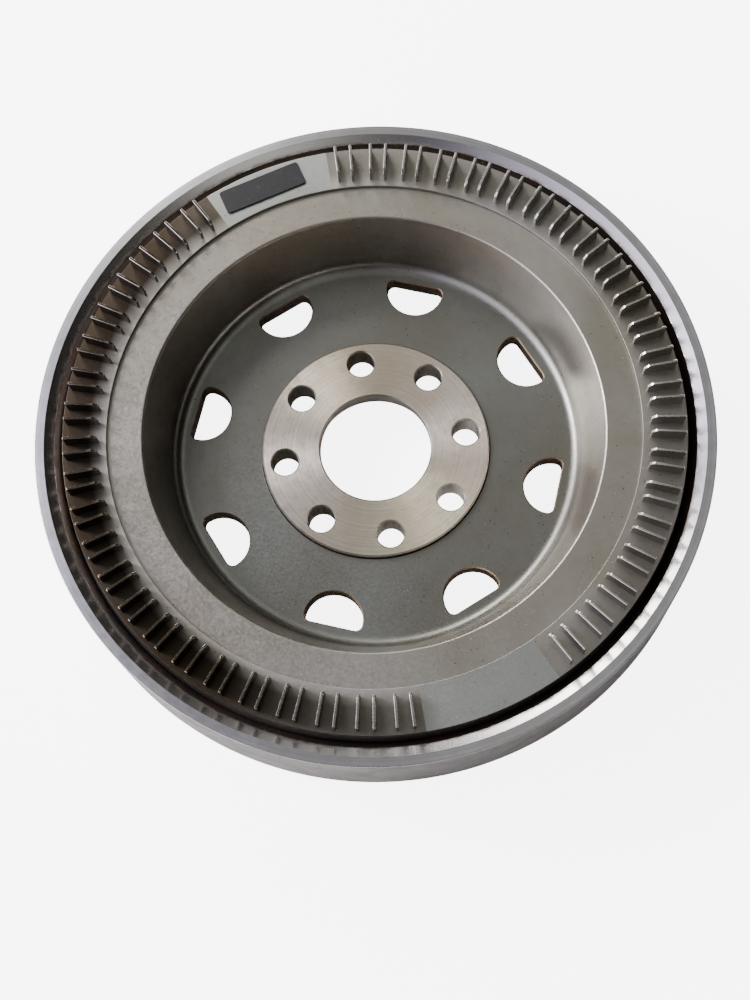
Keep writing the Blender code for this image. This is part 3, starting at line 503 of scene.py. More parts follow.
def label_finish():
    finish = Finish("dark label paint", Metallic=0.2)
    wear = finish.remap(finish.grain(260.0, 6.0, 0.7), 0.56, 0.70)
    colour = finish.mix(wear, (0.010, 0.010, 0.011), (0.020, 0.019, 0.018))
    finish.feed("Base Color", finish.mix(finish.spots(600.0, 0.10), colour, (0.12, 0.11, 0.10)))
    finish.feed("Roughness", finish.remap(finish.grain(500.0), 0.3, 0.7, 0.42, 0.60))
    finish.bump(finish.grain(1500.0), 0.00002, 0.5)
    return finish.mat


LABEL_PAINT = label_finish()
BRONZE = turned_finish("bearing bronze", (0.62, 0.43, 0.22), (0.42, 0.27, 0.13), 0.30, 0.3)
FRICTION = dark_oil_and_shade_finish("friction polymer", (0.09, 0.08, 0.07), (0.12, 0.10, 0.07), 0.50)
FRICTION.node_tree.nodes["Principled BSDF"].inputs["Metallic"].default_value = 0.0
print("fin, label, bronze and washer finishes made")

# %% [markdown]
# The primary plate is pressed from thick sheet: a flat floor, a steep dish
# wall, a flat annulus and an outer wall that closes the spring channel. Eight
# D-shaped windows are punched through the floor. One spun outline gives the
# pressing, because press work rounds every bend and a fillet is one number.
# The windows are cut afterwards, with a small break on both faces, and their
# punched sides get a browned finish of their own.

# %% The pressed primary plate
FIT_GAP = 0.0003
RUN_GAP = 0.0006
HUB_RADIUS = 0.0517
DISH_FLOOR_RADIUS = 0.0916
DISH_MOUTH_RADIUS = 0.1010
FLOOR_FILLET = 0.0055
MOUTH_FILLET = 0.0012
CORNER_FILLET = 0.0070
WINDOW_COUNT = 8
WINDOW_INNER = 0.0690
WINDOW_DEPTH = 0.0155
WINDOW_WIDTH = 0.0260
WINDOW_CORNER = 0.0030
WINDOW_BREAK = 0.0005
ARC_STEPS = 32
CORNER_STEPS = 6

dish_slope = (DISH_MOUTH_RADIUS - DISH_FLOOR_RADIUS) / (ANNULUS_TOP - FLOOR_TOP)
wall_offset = WALL * math.sqrt(1 + dish_slope ** 2)
outside_foot = DISH_FLOOR_RADIUS + wall_offset - dish_slope * FLOOR_THICKNESS
outside_mouth = DISH_MOUTH_RADIUS + wall_offset - dish_slope * WALL


def plate_outline():
    return rounded([
        (HUB_RADIUS + FIT_GAP, FLOOR_Z, EDGE_BREAK),
        (HUB_RADIUS + FIT_GAP, FLOOR_TOP, EDGE_BREAK),
        (DISH_FLOOR_RADIUS, FLOOR_TOP, FLOOR_FILLET),
        (DISH_MOUTH_RADIUS, ANNULUS_TOP, MOUTH_FILLET),
        (PLATE_RADIUS, ANNULUS_TOP, CORNER_FILLET),
        (PLATE_RADIUS, plate_foot_z, EDGE_BREAK),
        (PLATE_RADIUS - WALL, plate_foot_z, EDGE_BREAK),
        (PLATE_RADIUS - WALL, ANNULUS_Z, CORNER_FILLET - WALL),
        (outside_mouth, ANNULUS_Z, 2 * EDGE_BREAK),
        (outside_foot, FLOOR_Z, 2 * EDGE_BREAK),
    ], steps=8)


def window_outline():
    """Straight side outward, the rest one half ellipse with two round corners."""
    outer = WINDOW_INNER + WINDOW_DEPTH
    shoulder = outer - WINDOW_CORNER
    half = WINDOW_WIDTH / 2
    points = []
    for step in range(ARC_STEPS + 1):
        angle = math.pi * step / ARC_STEPS
        points.append((shoulder - (shoulder - WINDOW_INNER) * math.sin(angle), -half * math.cos(angle)))
    onward = range(1, CORNER_STEPS + 1)
    for side, order in ((1, onward), (-1, reversed(onward))):
        for step in order:
            angle = math.pi / 2 * step / CORNER_STEPS
            points.append((shoulder + WINDOW_CORNER * math.sin(angle),
                           side * (half - WINDOW_CORNER * (1 - math.cos(angle)))))
    return points[::-1]


plate_foot_z = cover_high.z + FIT_GAP
bm = bmesh.new()
spin_ring(bm, plate_outline())
plate = to_object(bm, "pressed_plate", [])
bm = bmesh.new()
for angle in spread(WINDOW_COUNT, math.pi / WINDOW_COUNT):
    raise_levels(bm, window_outline(), [
        (FLOOR_Z - WINDOW_BREAK, 2 * WINDOW_BREAK), (FLOOR_Z + WINDOW_BREAK, 0.0),
        (FLOOR_TOP - WINDOW_BREAK, 0.0), (FLOOR_TOP + WINDOW_BREAK, 2 * WINDOW_BREAK),
    ], Matrix.Rotation(angle, 4, "Z"))
combine(plate, to_object(bm, "window_cutter", []))
for mat in (PRESSED, PUNCHED_EDGE):
    plate.data.materials.append(mat)
for face in plate.data.polygons:
    past_inner = face.center.xy.length - WINDOW_INNER
    in_window = -2 * WINDOW_BREAK < past_inner < WINDOW_DEPTH + 2 * WINDOW_BREAK
    face.material_index = 1 if in_window and abs(face.normal.z) < 0.9 else 0
mount(plate, "primary", "primary_plate")

# %% [markdown]
# The hub is turned from a forging and faced in the lathe, so its face carries
# fine rings. The bore has a lead-in chamfer and, below a fitted land, a wider
# relief. The eight bolt holes are drilled and countersunk.

# %% The turned crankshaft hub
BORE_RADIUS = 0.0252
BORE_LAND = 0.0050
BORE_RELIEF = 0.0024
BOLT_COUNT = 8
BOLT_CIRCLE = 0.0417
BOLT_HOLE = 0.00615
BORE_CHAMFER = 0.0007
HOLE_CHAMFER = 0.0006
HUB_TOP = hub_high.z
land_z = HUB_TOP - BORE_LAND
relief_radius = BORE_RADIUS + BORE_RELIEF
flange_top = FLOOR_Z - FIT_GAP

bm = bmesh.new()
spin_ring(bm, rounded([
    (BORE_RADIUS, HUB_TOP - BORE_CHAMFER, 0), (BORE_RADIUS + BORE_CHAMFER, HUB_TOP, 0),
    (HUB_RADIUS - BORE_CHAMFER, HUB_TOP, 0), (HUB_RADIUS, HUB_TOP - BORE_CHAMFER, 0),
    (HUB_RADIUS, flange_top, 0), (hub_high.x, flange_top, EDGE_BREAK),
    (hub_high.x, hub_low.z, EDGE_BREAK), (relief_radius, hub_low.z, EDGE_BREAK),
    (relief_radius, land_z - EDGE_BREAK, 0), (relief_radius - EDGE_BREAK, land_z, 0),
    (BORE_RADIUS, land_z, EDGE_BREAK / 2),
]))
hub = to_object(bm, "turned_hub", [])
bm = bmesh.new()
for angle in spread(BOLT_COUNT):
    raise_levels(bm, circle_outline(BOLT_HOLE), [
        (hub_low.z - HOLE_CHAMFER, 2 * HOLE_CHAMFER), (hub_low.z + HOLE_CHAMFER, 0.0),
        (HUB_TOP - HOLE_CHAMFER, 0.0), (HUB_TOP + HOLE_CHAMFER, 2 * HOLE_CHAMFER),
    ], Matrix.Translation(polar(BOLT_CIRCLE, angle)))
combine(hub, to_object(bm, "bolt_hole_cutter", []))
for mat in (HUB_FACE, HUB_SIDE):
    hub.data.materials.append(mat)
for face in hub.data.polygons:
    face.material_index = 0 if abs(face.normal.z) > 0.99 else 1
mount(hub, "primary", "crank_hub")

# %% [markdown]
# The rim is a heavy ring round the plate. Its flat face and the slope inside it
# were finished in one turning cut, the open groove beside the plate is painted
# nearly black as shade, and the outer wall was left rougher. Each zone is its
# own material, picked by where a face lies and which way it looks. The outer
# edge of the face carries a painted highlight.

# %% The heavy rim
RIM_BORE = PLATE_RADIUS + FIT_GAP
GROOVE_DEPTH = 0.0060
FACE_WIDTH = 0.0042
SLOPE_DROP = 0.0020
RIM_FLARE = 0.0008
WEB_THICKNESS = 0.0027
RIM_TOP = rim_high.z
web_top = cover_low.z - FIT_GAP
spigot_top = web_top - WEB_THICKNESS
rim_top_radius = RIM_RADIUS - RIM_FLARE
face_inner = rim_top_radius - FACE_WIDTH
slope_inner = (face_inner + RIM_BORE) / 2 - (RIM_TOP - ANNULUS_TOP)
groove_z = ANNULUS_TOP - GROOVE_DEPTH
GEAR_BORE = 0.1334
SPIGOT_WALL = 0.0072
spigot_outer = GEAR_BORE - FIT_GAP
spigot_inner = spigot_outer - SPIGOT_WALL

bm = bmesh.new()
spin_ring(bm, rounded([
    (RIM_BORE, web_top, 0), (RIM_BORE, groove_z, EDGE_BREAK),
    (slope_inner, RIM_TOP - SLOPE_DROP, EDGE_BREAK), (face_inner, RIM_TOP, EDGE_BREAK / 2),
    (rim_top_radius, RIM_TOP, EDGE_BREAK), (RIM_RADIUS, spigot_top, 2 * EDGE_BREAK),
    (spigot_outer, spigot_top, 0), (spigot_outer, rim_low.z, 2 * EDGE_BREAK),
    (spigot_inner, rim_low.z, 2 * EDGE_BREAK), (spigot_inner, web_top, 0),
], steps=4), around=360)
rim = to_object(bm, "heavy_rim", [RIM_FACE, RIM_SLOPE, RIM_GROOVE_SHADE, RIM_WALL, RIM_BACK, EDGE_HIGHLIGHT])
for face in rim.data.polygons:
    radius = face.center.xy.length
    if face.center.z < spigot_top + EDGE_BREAK and abs(radius - RIM_RADIUS) > 2 * EDGE_BREAK:
        face.material_index = 4
    # The outer edge break of the face takes the painted highlight.
    elif radius > rim_top_radius - EDGE_BREAK and 0.2 < face.normal.z < 0.95:
        face.material_index = 5
    elif radius > rim_top_radius and face.normal.z < 0.7:
        face.material_index = 3
    elif face.normal.z > 0.95:
        face.material_index = 0
    elif face.center.z > RIM_TOP - SLOPE_DROP - EDGE_BREAK and face.normal.z > 0.2:
        face.material_index = 1
    elif radius > rim_top_radius:
        face.material_index = 0
    else:
        face.material_index = 2
mount(rim, "primary", "rim_ring")

# %% [markdown]
# The cooling fins stand in pairs on a thin ring of sheet. One fin is a flat
# five-sided bar with its inner end cut at a slant. Its edges are beveled while
# it is alone, and then it is copied round the ring by angle. The ring and the
# fins become one skin by a union, as they are one pressing.

# %% The ring of cooling fins
FIN_PLATE_INNER = 0.1166
FIN_PLATE_THICKNESS = 0.0012
FIN_EDGE_MARGIN = 0.0032
FIN_OUTER_MARGIN = 0.0018
FIN_THICKNESS = 0.0012
FIN_CHAMFER = 0.0020
FIN_BANKS = 2
FIN_PAIRS = 22
FIN_PAIR_PITCH = math.radians(7.0)
FIN_PAIR_GAP = math.radians(3.0)
FIRST_FIN = math.radians(-61.9)
fin_plate_top = fins_low.z + FIN_PLATE_THICKNESS
fin_top = fins_high.z
fin_inner = FIN_PLATE_INNER + FIN_EDGE_MARGIN
fin_outer = fins_high.x - FIN_OUTER_MARGIN
fin_plate_outer = fins_high.x
fin_root = fin_plate_top - FIN_PLATE_THICKNESS / 3


def add_fin(bm, angle):
    side = [(fin_inner, fin_root), (fin_inner, fin_top - FIN_CHAMFER),
            (fin_inner + FIN_CHAMFER, fin_top), (fin_outer, fin_top), (fin_outer, fin_root)]
    alone = bmesh.new()
    loop(alone, [(radius, -FIN_THICKNESS / 2, z) for radius, z in side])
    face = bmesh.ops.contextual_create(alone, geom=alone.edges[:])["faces"]
    raised = bmesh.ops.extrude_face_region(alone, geom=face, use_keep_orig=True)
    far = [item for item in raised["geom"] if isinstance(item, bmesh.types.BMVert)]
    bmesh.ops.translate(alone, verts=far, vec=(0, FIN_THICKNESS, 0))
    upper = [edge for edge in alone.edges
             if max(vert.co.z for vert in edge.verts) > fin_root + FIN_CHAMFER / 2]
    bmesh.ops.bevel(alone, geom=upper, offset=FIN_THICKNESS / 6, segments=1, profile=0.5,
                    affect="EDGES", material=-1)
    bmesh.ops.rotate(alone, verts=alone.verts, cent=(0, 0, 0), matrix=Matrix.Rotation(angle, 3, "Z"))
    one = bpy.data.meshes.new("fin")
    alone.to_mesh(one)
    alone.free()
    bm.from_mesh(one)
    bpy.data.meshes.remove(one)


bm = bmesh.new()
spin_ring(bm, rounded([
    (FIN_PLATE_INNER, fins_low.z, 0), (FIN_PLATE_INNER, fin_plate_top, EDGE_BREAK / 2),
    (fin_plate_outer, fin_plate_top, EDGE_BREAK / 2), (fin_plate_outer, fins_low.z, 0),
], steps=2))
fin_ring = to_object(bm, "fin_ring", [])
bm = bmesh.new()
for bank in spread(FIN_BANKS, FIRST_FIN):
    for pair in range(FIN_PAIRS):
        for fin in (0, 1):
            add_fin(bm, bank + pair * FIN_PAIR_PITCH + fin * FIN_PAIR_GAP)
combine(fin_ring, to_object(bm, "fins", []), "UNION")
for mat in (FIN_SHEET, EDGE_HIGHLIGHT, FIN_PAINTED_SHADE):
    fin_ring.data.materials.append(mat)
for face in fin_ring.data.polygons:
    # The bevels on the fin tops take the painted highlight.
    painted_highlight = face.center.z > fin_plate_top + FIN_THICKNESS and 0.2 < face.normal.z < 0.9
    # Faces in the two fin banks take the sheet with painted shade between the fins.
    along = (math.atan2(face.center.y, face.center.x) - FIRST_FIN + FIN_PAIR_GAP) % math.pi
    in_bank = along < FIN_PAIRS * FIN_PAIR_PITCH + FIN_PAIR_GAP / 2
    face.material_index = 1 if painted_highlight else 2 if in_bank else 0
mount(fin_ring, "primary", "cooling_fin_ring")

# %% The blank data label
label_low, label_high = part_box("data_label")
LABEL_LENGTH = 0.0390
LABEL_WIDTH = 0.0120
LABEL_CORNER = 0.0015
LABEL_BREAK = 0.00015
LABEL_ANGLE = math.radians(104.3)
half_length, half_width = LABEL_LENGTH / 2, LABEL_WIDTH / 2
label_place = Matrix.Rotation(LABEL_ANGLE, 4, "Z") @ Matrix.Translation(((fin_inner + fin_outer) / 2, 0, 0))
bm = bmesh.new()
raise_levels(bm, rounded([
    (-half_width, -half_length, LABEL_CORNER), (half_width, -half_length, LABEL_CORNER),
    (half_width, half_length, LABEL_CORNER), (-half_width, half_length, LABEL_CORNER),
]), [(label_low.z, 0.0), (label_high.z - LABEL_BREAK, 0.0), (label_high.z, -LABEL_BREAK)], label_place)
label = to_object(bm, "blank_label", [LABEL_PAINT])
mount(label, "primary", "data_label")

# %% [markdown]
# Behind the rim sits the starter gear, shrunk on to a spigot. Its outline is
# drawn tooth by tooth. Three copies of the outline at different heights are
# bridged, so the teeth get the end chamfer that lets a pinion slide in.

# %% The starter ring gear
GEAR_TEETH = 111
GEAR_MODULE = 0.00254
TOOTH_CHAMFER = 0.0007
pitch_radius = GEAR_TEETH * GEAR_MODULE / 2
tip_radius = gear_high.x
root_radius = pitch_radius - GEAR_MODULE


def gear_outline(drop):
    """Six points to a tooth. The tips are lowered by drop."""
    shape = ((-0.32, root_radius), (-0.25, pitch_radius - 0.4 * GEAR_MODULE), (-0.14, tip_radius - drop),
             (0.14, tip_radius - drop), (0.25, pitch_radius - 0.4 * GEAR_MODULE), (0.32, root_radius))
    return [polar(radius, angle + share * math.tau / GEAR_TEETH)
            for angle in spread(GEAR_TEETH) for share, radius in shape]


bm = bmesh.new()
levels = ((gear_low.z, TOOTH_CHAMFER), (gear_low.z + TOOTH_CHAMFER, 0.0),
          (gear_high.z - TOOTH_CHAMFER, 0.0), (gear_high.z, TOOTH_CHAMFER))
outer = [loop(bm, [point + Vector((0, 0, z)) for point in gear_outline(drop)])[1] for z, drop in levels]
inner = [loop(bm, [polar(GEAR_BORE, angle, z) for angle in spread(AROUND)])[1]
         for z in (gear_low.z, gear_high.z)]
for low, high in list(zip(outer, outer[1:])) + [tuple(inner)]:
    bmesh.ops.bridge_loops(bm, edges=low + high)
for outside, inside in ((outer[0], inner[0]), (outer[-1], inner[-1])):
    bmesh.ops.triangle_fill(bm, edges=outside + inside, use_beauty=True)
gear = to_object(bm, "starter_gear", [GEAR_STEEL])
mount(gear, "primary", "starter_ring_gear")

# %% [markdown]
# The rear is closed by a cover plate with three balance weights on it. Inside
# sit the bearing carrier, its bush and a retaining ring. These are plain turned
# or stamped rings, so one helper takes each height and outer radius from the
# frame and adds the edge break that a press or a lathe leaves.

# %% Rear rings
def plain_ring(name, node, inner_radius, mat, body):
    low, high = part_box(node)
    ring_piece(name, rounded([
        (inner_radius, low.z, EDGE_BREAK), (inner_radius, high.z, EDGE_BREAK),
        (high.x, high.z, EDGE_BREAK), (high.x, low.z, EDGE_BREAK),
    ], steps=3), mat, body, node)


COLLAR_CLEARANCE = 0.0016
COLLAR_WALL = 0.0035
LUG_THICKNESS = 0.0080
channel_middle = (cover_high.z + ANNULUS_Z) / 2
lug_top = channel_middle + LUG_THICKNESS / 2
collar_inner = DISH_FLOOR_RADIUS + wall_offset + dish_slope * (lug_top - FLOOR_TOP) + COLLAR_CLEARANCE
collar_outer = collar_inner + COLLAR_WALL
LID_CLEARANCE = 0.0030
plain_ring("channel_lid", "channel_cover", collar_outer + LID_CLEARANCE, PRESSED_BACK,
           "primary")
CARRIER_SEAT_WIDTH = 0.0031
CARRIER_WALL = 0.0026
CARRIER_FOOT_THICKNESS = 0.0030
carrier_inner = outside_foot - CARRIER_SEAT_WIDTH
carrier_outer = carrier_inner + CARRIER_WALL
carrier_foot_z = carrier_high.z - CARRIER_FOOT_THICKNESS
ring_piece("carrier_tube", rounded([
    (carrier_inner, carrier_low.z, EDGE_BREAK), (carrier_inner, carrier_high.z, EDGE_BREAK),
    (carrier_high.x, carrier_high.z, EDGE_BREAK), (carrier_high.x, carrier_foot_z, EDGE_BREAK),
    (carrier_outer, carrier_foot_z, EDGE_BREAK), (carrier_outer, carrier_low.z, EDGE_BREAK),
], steps=3), TURNED_BACK, "primary", "bearing_carrier")
plain_ring("plain_bush", "bearing_bush", carrier_outer + FIT_GAP, BRONZE, "primary")
plain_ring("keeper_ring", "retaining_ring", carrier_outer + FIT_GAP, TURNED_BACK, "primary")

# %% Balance weights
WEIGHT_WIDTH = 0.0050
WEIGHT_SPANS = {1: (40.0, 58.0), 2: (152.0, 164.0), 3: (286.0, 310.0)}
weight_inner = spigot_inner - FIT_GAP - WEIGHT_WIDTH
for number, span in WEIGHT_SPANS.items():
    low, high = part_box(f"balance_weight_{number}")
    start, end = (math.radians(value) for value in span)
    outline = sector(weight_inner, weight_inner + WEIGHT_WIDTH, start, end)
    bm = bmesh.new()
    raise_levels(bm, outline, [(low.z, -EDGE_BREAK), (low.z + EDGE_BREAK, 0.0), (high.z, 0.0)],
                 Matrix.Identity(4))
    weight = to_object(bm, f"weight_{number}", [WEIGHT_STEEL])
    mount(weight, "primary", f"balance_weight_{number}")

# %% [markdown]
# The output side turns on the bush. Its flange has a collar that climbs round
# the dish and two lugs that push the arc springs, and it is riveted to a flat
# ring with threaded drive holes and dowels. Both take the same hole pattern.

# %% The output flange and ring
LUG_HALF_ANGLE = math.radians(5.5)
FOOT_THICKNESS = 0.0035
RIVET_RADIUS = 0.0032
RIVET_HEAD = 0.0048
RIVET_HEAD_HEIGHT = 0.0018
DRIVE_HOLE = 0.0051
DOWEL_RADIUS = 0.0040
RIVETS = spread(6)
DRIVES = spread(6, math.pi / 6)
DOWELS = spread(3, math.radians(15.0))
foot_top = flange_low.z + FOOT_THICKNESS
fastener_circle = (collar_outer + ring_high.x) / 2


def cut_fastener_holes(obj, low, high):
    bm = bmesh.new()
    for angles, radius in ((RIVETS, RIVET_RADIUS + FIT_GAP), (DRIVES, DRIVE_HOLE),
                           (DOWELS, DOWEL_RADIUS + FIT_GAP)):
        for angle in angles:
            raise_levels(bm, circle_outline(radius, 40), [
                (low - EDGE_BREAK, 2 * EDGE_BREAK), (low + EDGE_BREAK, 0.0),
                (high - EDGE_BREAK, 0.0), (high + EDGE_BREAK, 2 * EDGE_BREAK),
            ], Matrix.Translation(polar(fastener_circle, angle)))
    combine(obj, to_object(bm, "fastener_cutter", []))


bm = bmesh.new()
spin_ring(bm, rounded([
    (collar_inner, flange_low.z, EDGE_BREAK), (collar_inner, lug_top, EDGE_BREAK),
    (collar_outer, lug_top, EDGE_BREAK), (collar_outer, foot_top, 2 * EDGE_BREAK),
    (ring_high.x, foot_top, EDGE_BREAK), (ring_high.x, flange_low.z, EDGE_BREAK),
], steps=3))
flange = to_object(bm, "lug_flange", [])
lug_low = channel_middle - LUG_THICKNESS / 2
lug_tip = (flange_high.x - flange_low.x) / 2
lug_head = lug_top - COLLAR_WALL / 8
bm = bmesh.new()
for middle in spread(2):
    outline = sector(collar_outer - COLLAR_WALL / 2, lug_tip,
                     middle - LUG_HALF_ANGLE, middle + LUG_HALF_ANGLE, steps=12)
    raise_levels(bm, outline, [(lug_low, -EDGE_BREAK), (lug_low + EDGE_BREAK, 0.0),
                               (lug_head - EDGE_BREAK, 0.0), (lug_head, -EDGE_BREAK)], Matrix.Identity(4))
combine(flange, to_object(bm, "lugs", []), "UNION")
cut_fastener_holes(flange, flange_low.z, foot_top)
flange.data.materials.append(OUTPUT_STEEL)
mount(flange, "output", "output_flange")

bush_low, bush_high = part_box("bearing_bush")
keeper_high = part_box("retaining_ring")[1]
rivet_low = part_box("flange_rivet_1")[0]
ring_inner = bush_high.x + RUN_GAP
recess_radius = keeper_high.x + RUN_GAP
sunk_head_top = rivet_low.z + RIVET_HEAD_HEIGHT
bm = bmesh.new()
spin_ring(bm, rounded([
    (ring_inner, bush_low.z, EDGE_BREAK), (ring_inner, ring_high.z, EDGE_BREAK),
    (ring_high.x, ring_high.z, EDGE_BREAK), (ring_high.x, ring_low.z, EDGE_BREAK),
    (recess_radius, ring_low.z, EDGE_BREAK), (recess_radius, bush_low.z, 0),
], steps=3))
ring = to_object(bm, "drive_ring", [])
cut_fastener_holes(ring, ring_low.z, ring_high.z)
bm = bmesh.new()
for angle in RIVETS:
    raise_levels(bm, circle_outline(RIVET_HEAD + FIT_GAP, 40), [
        (ring_low.z - EDGE_BREAK, 2 * EDGE_BREAK), (ring_low.z + EDGE_BREAK, 0.0),
        (sunk_head_top + FIT_GAP, 0.0),
    ], Matrix.Translation(polar(fastener_circle, angle)))
combine(ring, to_object(bm, "rivet_sink_cutter", []))
ring.data.materials.append(OUTPUT_STEEL)
mount(ring, "output", "output_ring")

# %% Rivets and dowels
for number, angle in enumerate(RIVETS, start=1):
    low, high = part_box(f"flange_rivet_{number}")
    head_high = foot_top + FIT_GAP
    bm = bmesh.new()
    spin_pin(bm, [
        (0, low.z), (RIVET_HEAD - EDGE_BREAK, low.z), (RIVET_HEAD, low.z + EDGE_BREAK),
        (RIVET_HEAD, sunk_head_top), (RIVET_RADIUS, sunk_head_top), (RIVET_RADIUS, head_high),
        (RIVET_HEAD, head_high), (RIVET_HEAD * 0.93, head_high + RIVET_HEAD_HEIGHT * 0.4),
        (RIVET_HEAD * 0.7, head_high + RIVET_HEAD_HEIGHT * 0.7), (RIVET_HEAD * 0.36, high.z), (0, high.z),
    ], polar(fastener_circle, angle))
    rivet = to_object(bm, f"rivet_{number}", [OUTPUT_STEEL])
    mount(rivet, "output", f"flange_rivet_{number}")
for number, angle in enumerate(DOWELS, start=1):
    low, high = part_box(f"drive_dowel_{number}")
    bm = bmesh.new()
    spin_pin(bm, [(0, low.z), (DOWEL_RADIUS * 0.85, low.z), (DOWEL_RADIUS, low.z + DOWEL_RADIUS * 0.15),
                  (DOWEL_RADIUS, high.z - EDGE_BREAK), (DOWEL_RADIUS - EDGE_BREAK, high.z), (0, high.z)],
             polar(fastener_circle, angle))
    dowel = to_object(bm, f"dowel_{number}", [OUTPUT_STEEL])
    mount(dowel, "output", f"drive_dowel_{number}")

# %% [markdown]
# Each arc spring is wound from thick wire and bent round the channel. A curve
# with a round bevel is the natural tool, because a coil is one path. Each
# spring is made in two halves, each running from one end to the middle.

# %% The arc springs
SPRING_WIRE = 0.0044
COILS_PER_HALF = 8
STEPS_PER_COIL = 20
SPRING_START = math.radians(8.2)
SHELL_THICKNESS = 0.0013
SPRING_CLEARANCE = 0.0008
SEAL_THICKNESS = 0.0008
shell_inner = PLATE_RADIUS - WALL - FIT_GAP - SHELL_THICKNESS
spring_reach = shell_inner - SPRING_CLEARANCE
coil_radius = min((spring_reach - collar_outer - RUN_GAP) / 2,
                  (ANNULUS_Z - cover_high.z) / 2 - SEAL_THICKNESS - RUN_GAP)
coil_middle = spring_reach - coil_radius
turn_radius = coil_radius - SPRING_WIRE / 2


def spring_half(name, start, end, node):
    curve = bpy.data.curves.new(name, "CURVE")
    curve.dimensions = "3D"
    curve.bevel_depth = SPRING_WIRE / 2
    curve.bevel_resolution = 3
    curve.use_fill_caps = True
    spline = curve.splines.new("POLY")
    steps = COILS_PER_HALF * STEPS_PER_COIL
    spline.points.add(steps)
    for step, point in enumerate(spline.points):
        share = step / steps
        phase = math.tau * COILS_PER_HALF * share
        spot = polar(coil_middle + turn_radius * math.cos(phase), start + (end - start) * share,
                     channel_middle + turn_radius * math.sin(phase))
        point.co = (*spot, 1.0)
    wire = bpy.data.objects.new(name, curve)
    bpy.context.scene.collection.objects.link(wire)
    bpy.context.view_layer.update()
    mesh = bpy.data.meshes.new_from_object(wire.evaluated_get(bpy.context.evaluated_depsgraph_get()))
    bpy.data.objects.remove(wire, do_unlink=True)
    bpy.data.curves.remove(curve)
    mesh.name = name
    mesh.materials.clear()
    mesh.materials.append(SPRING_STEEL)
    half = bpy.data.objects.new(name, mesh)
    bpy.context.scene.collection.objects.link(half)
    smooth(half)
    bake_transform(half)
    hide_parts(node)
    print(f"{name}: {len(mesh.polygons)} faces")


for number, first in enumerate(spread(2), start=1):
    middle = first + math.pi / 2
    spring_half(f"spring_{number}_lead", first + SPRING_START, middle, f"arc_spring_{number}")
    spring_half(f"spring_{number}_trail", first + math.pi - SPRING_START, middle, f"arc_spring_{number}")

# %% Finishes for the hidden solids that stay as they are
for name, mat in (("slide_shell_1", SPRING_STEEL), ("slide_shell_2", SPRING_STEEL),
                  ("spring_stop_front_1", PRESSED_BACK), ("spring_stop_front_2", PRESSED_BACK),
                  ("spring_stop_rear_1", PRESSED_BACK), ("spring_stop_rear_2", PRESSED_BACK),
                  ("front_grease_seal", SPRING_STEEL), ("rear_grease_seal", SPRING_STEEL),
                  ("friction_washer", FRICTION), ("cup_spring", SPRING_STEEL)):
    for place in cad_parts[name].material_slots:
        place.material = mat
    print(name, "takes", mat.name)

# %% [markdown]
# The part lies on its rear face on a pale floor. Metal shows what stands round
# it, so an even light would look flat. The surround is bright and cool on one
# side, dim overhead and dark brown on the other, which gives the metal its
# depth. The floor and the backdrop glow only where the camera sees them, so
# they stay plain and pale without lighting the metal from below.

# %% Floor
FLOOR_GLOW = 6.0
FLOOR_HALF_WIDTH = 4.0
FLOOR_DROP = 0.0002


def make_floor():
    bm = bmesh.new()
    bmesh.ops.create_grid(bm, x_segments=1, y_segments=1, size=FLOOR_HALF_WIDTH)
    bmesh.ops.translate(bm, verts=bm.verts, vec=(0, 0, -FLOOR_DROP))
    floor = to_object(bm, "pale_floor", [])
    mat = bpy.data.materials.new("pale floor")
    mat.use_nodes = True
    shader = mat.node_tree.nodes["Principled BSDF"]
    shader.inputs["Base Color"].default_value = (0.90, 0.90, 0.90, 1.0)
    shader.inputs["Roughness"].default_value = 0.9
    shader.inputs["Emission Color"].default_value = (1.0, 1.0, 1.0, 1.0)
    seen = node(mat.node_tree, "ShaderNodeLightPath").outputs["Is Camera Ray"]
    glow = node(mat.node_tree, "ShaderNodeMath", {0: seen, 1: FLOOR_GLOW}, operation="MULTIPLY")
    mat.node_tree.links.new(glow.outputs[0], shader.inputs["Emission Strength"])
    floor.data.materials.append(mat)
    print("floor", 2 * FLOOR_HALF_WIDTH, "m wide")


make_floor()

# %% Surround
BRIGHT_SIDE = math.radians(181.0)
FAR_SIDE = math.radians(80.0)
SURROUND_STRENGTH = 2.2
FAR_SHARE = 0.35
NEAR_SHARE = 0.12
world = bpy.data.worlds.new("soft surround")
bpy.context.scene.world = world
world.use_nodes = True
sky = world.node_tree
towards = node(sky, "ShaderNodeTexCoord").outputs["Generated"]


def lean(side):
    """How far a direction leans to one side, from -1 to 1."""
    return node(sky, "ShaderNodeVectorMath", {0: towards, 1: polar(1.0, side)},
                operation="DOT_PRODUCT").outputs["Value"]


def shade(value, low, high, to_low, to_high):
    return node(sky, "ShaderNodeMapRange", {
        "Value": value, "From Min": low, "From Max": high,
        "To Min": to_low, "To Max": to_high}).outputs[0]


ramp = node(sky, "ShaderNodeValToRGB", {"Fac": shade(lean(BRIGHT_SIDE), -1.0, 1.0, 0.0, 1.0)})
SURROUND_STOPS = (
    (0.00, (0.003, 0.002, 0.001)), (0.24, (0.003, 0.002, 0.001)), (0.32, (0.020, 0.016, 0.009)),
    (0.39, (0.400, 0.396, 0.370)), (0.46, (0.330, 0.328, 0.308)), (0.52, (0.105, 0.102, 0.094)),
    (0.57, (0.036, 0.034, 0.034)), (0.63, (0.040, 0.037, 0.044)),
    (0.74, (0.480, 0.460, 0.560)), (0.84, (1.300, 1.250, 1.480)), (1.00, (1.500, 1.450, 1.700)),
)
for index, (stop, colour) in enumerate(SURROUND_STOPS):
    entry = ramp.color_ramp.elements[index] if index < 1 else ramp.color_ramp.elements.new(stop)
    entry.position = stop
    entry.color = (*colour, 1.0)
ramp.color_ramp.elements.remove(ramp.color_ramp.elements[-1])
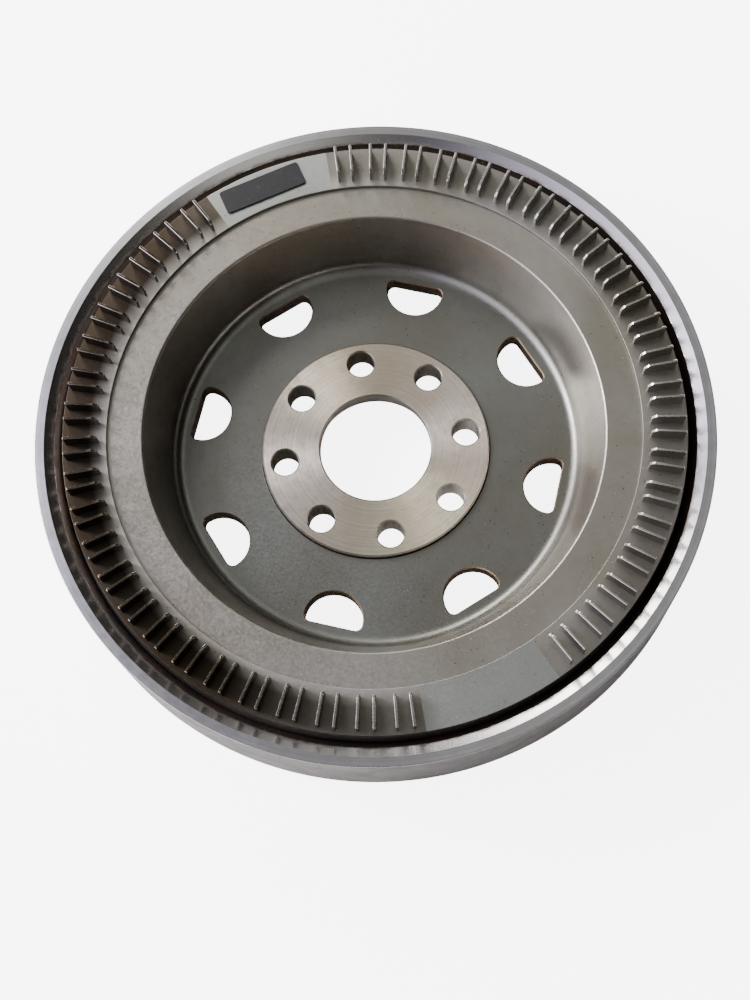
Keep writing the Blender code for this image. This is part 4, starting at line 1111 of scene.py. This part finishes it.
beyond = lean(FAR_SIDE)
fade = shade(beyond, 0.55, 0.95, SURROUND_STRENGTH, FAR_SHARE * SURROUND_STRENGTH)
near = shade(beyond, -0.5, -0.85, 1.0, NEAR_SHARE)
both = node(sky, "ShaderNodeMath", {0: fade, 1: near}, operation="MULTIPLY")
ground = sky.nodes["Background"]
sky.links.new(ramp.outputs[0], ground.inputs["Color"])
sky.links.new(both.outputs[0], ground.inputs["Strength"])
backdrop = node(sky, "ShaderNodeBackground", {"Color": (1.0, 1.0, 1.0, 1.0), "Strength": FLOOR_GLOW})
seen = node(sky, "ShaderNodeLightPath").outputs["Is Camera Ray"]
shown = node(sky, "ShaderNodeMixShader", {0: seen, 1: ground.outputs[0], 2: backdrop.outputs[0]})
sky.links.new(shown.outputs[0], sky.nodes["World Output"].inputs["Surface"])
print(len(SURROUND_STOPS), "shades in the surround")

# %% [markdown]
# Two soft panels stand beyond the part. The warm one makes the bow tie on the
# turned hub. The cool one stands low, like a window, and lights the wall of the
# dish that faces it.

# %% Soft panels
PANEL_DISTANCE = 1.5
PANEL_HEIGHT = 0.6


def panel(name, azimuth, elevation, width, watts, colour):
    azimuth, elevation = math.radians(azimuth), math.radians(elevation)
    light = bpy.data.lights.new(name, "AREA")
    light.shape = "RECTANGLE"
    light.size = width
    light.size_y = PANEL_HEIGHT
    light.energy = watts
    light.color = colour
    lamp = bpy.data.objects.new(name, light)
    bpy.context.scene.collection.objects.link(lamp)
    lamp.location = polar(math.cos(elevation), azimuth, math.sin(elevation)) * PANEL_DISTANCE
    lamp.rotation_euler = (-lamp.location).to_track_quat("-Z", "Y").to_euler()
    print(name, [round(value, 2) for value in lamp.location])


panel("side panel", 110.0, 32.0, 0.6, 17.0, (1.0, 0.97, 0.93))
panel("window panel", 156.0, 33.0, 0.4, 32.0, (0.94, 0.90, 1.0))

# %% [markdown]
# The camera stands a little to the near side and looks down into the dish, so
# that the far wall, the floor and the outer wall at the near edge all show.

# %% Camera
CAMERA_PLACE = (-0.0135, -0.2263, 0.6446)
CAMERA_TURN = (17.89, 2.16, -9.28)
LENS_MM = 52.2
SENSOR_MM = 36.0
eye = bpy.data.cameras.new("camera")
eye.lens = LENS_MM
eye.sensor_width = SENSOR_MM
camera = bpy.data.objects.new("camera", eye)
bpy.context.scene.collection.objects.link(camera)
camera.location = CAMERA_PLACE
camera.rotation_euler = [math.radians(value) for value in CAMERA_TURN]
bpy.context.scene.camera = camera
print("camera", LENS_MM, "mm")
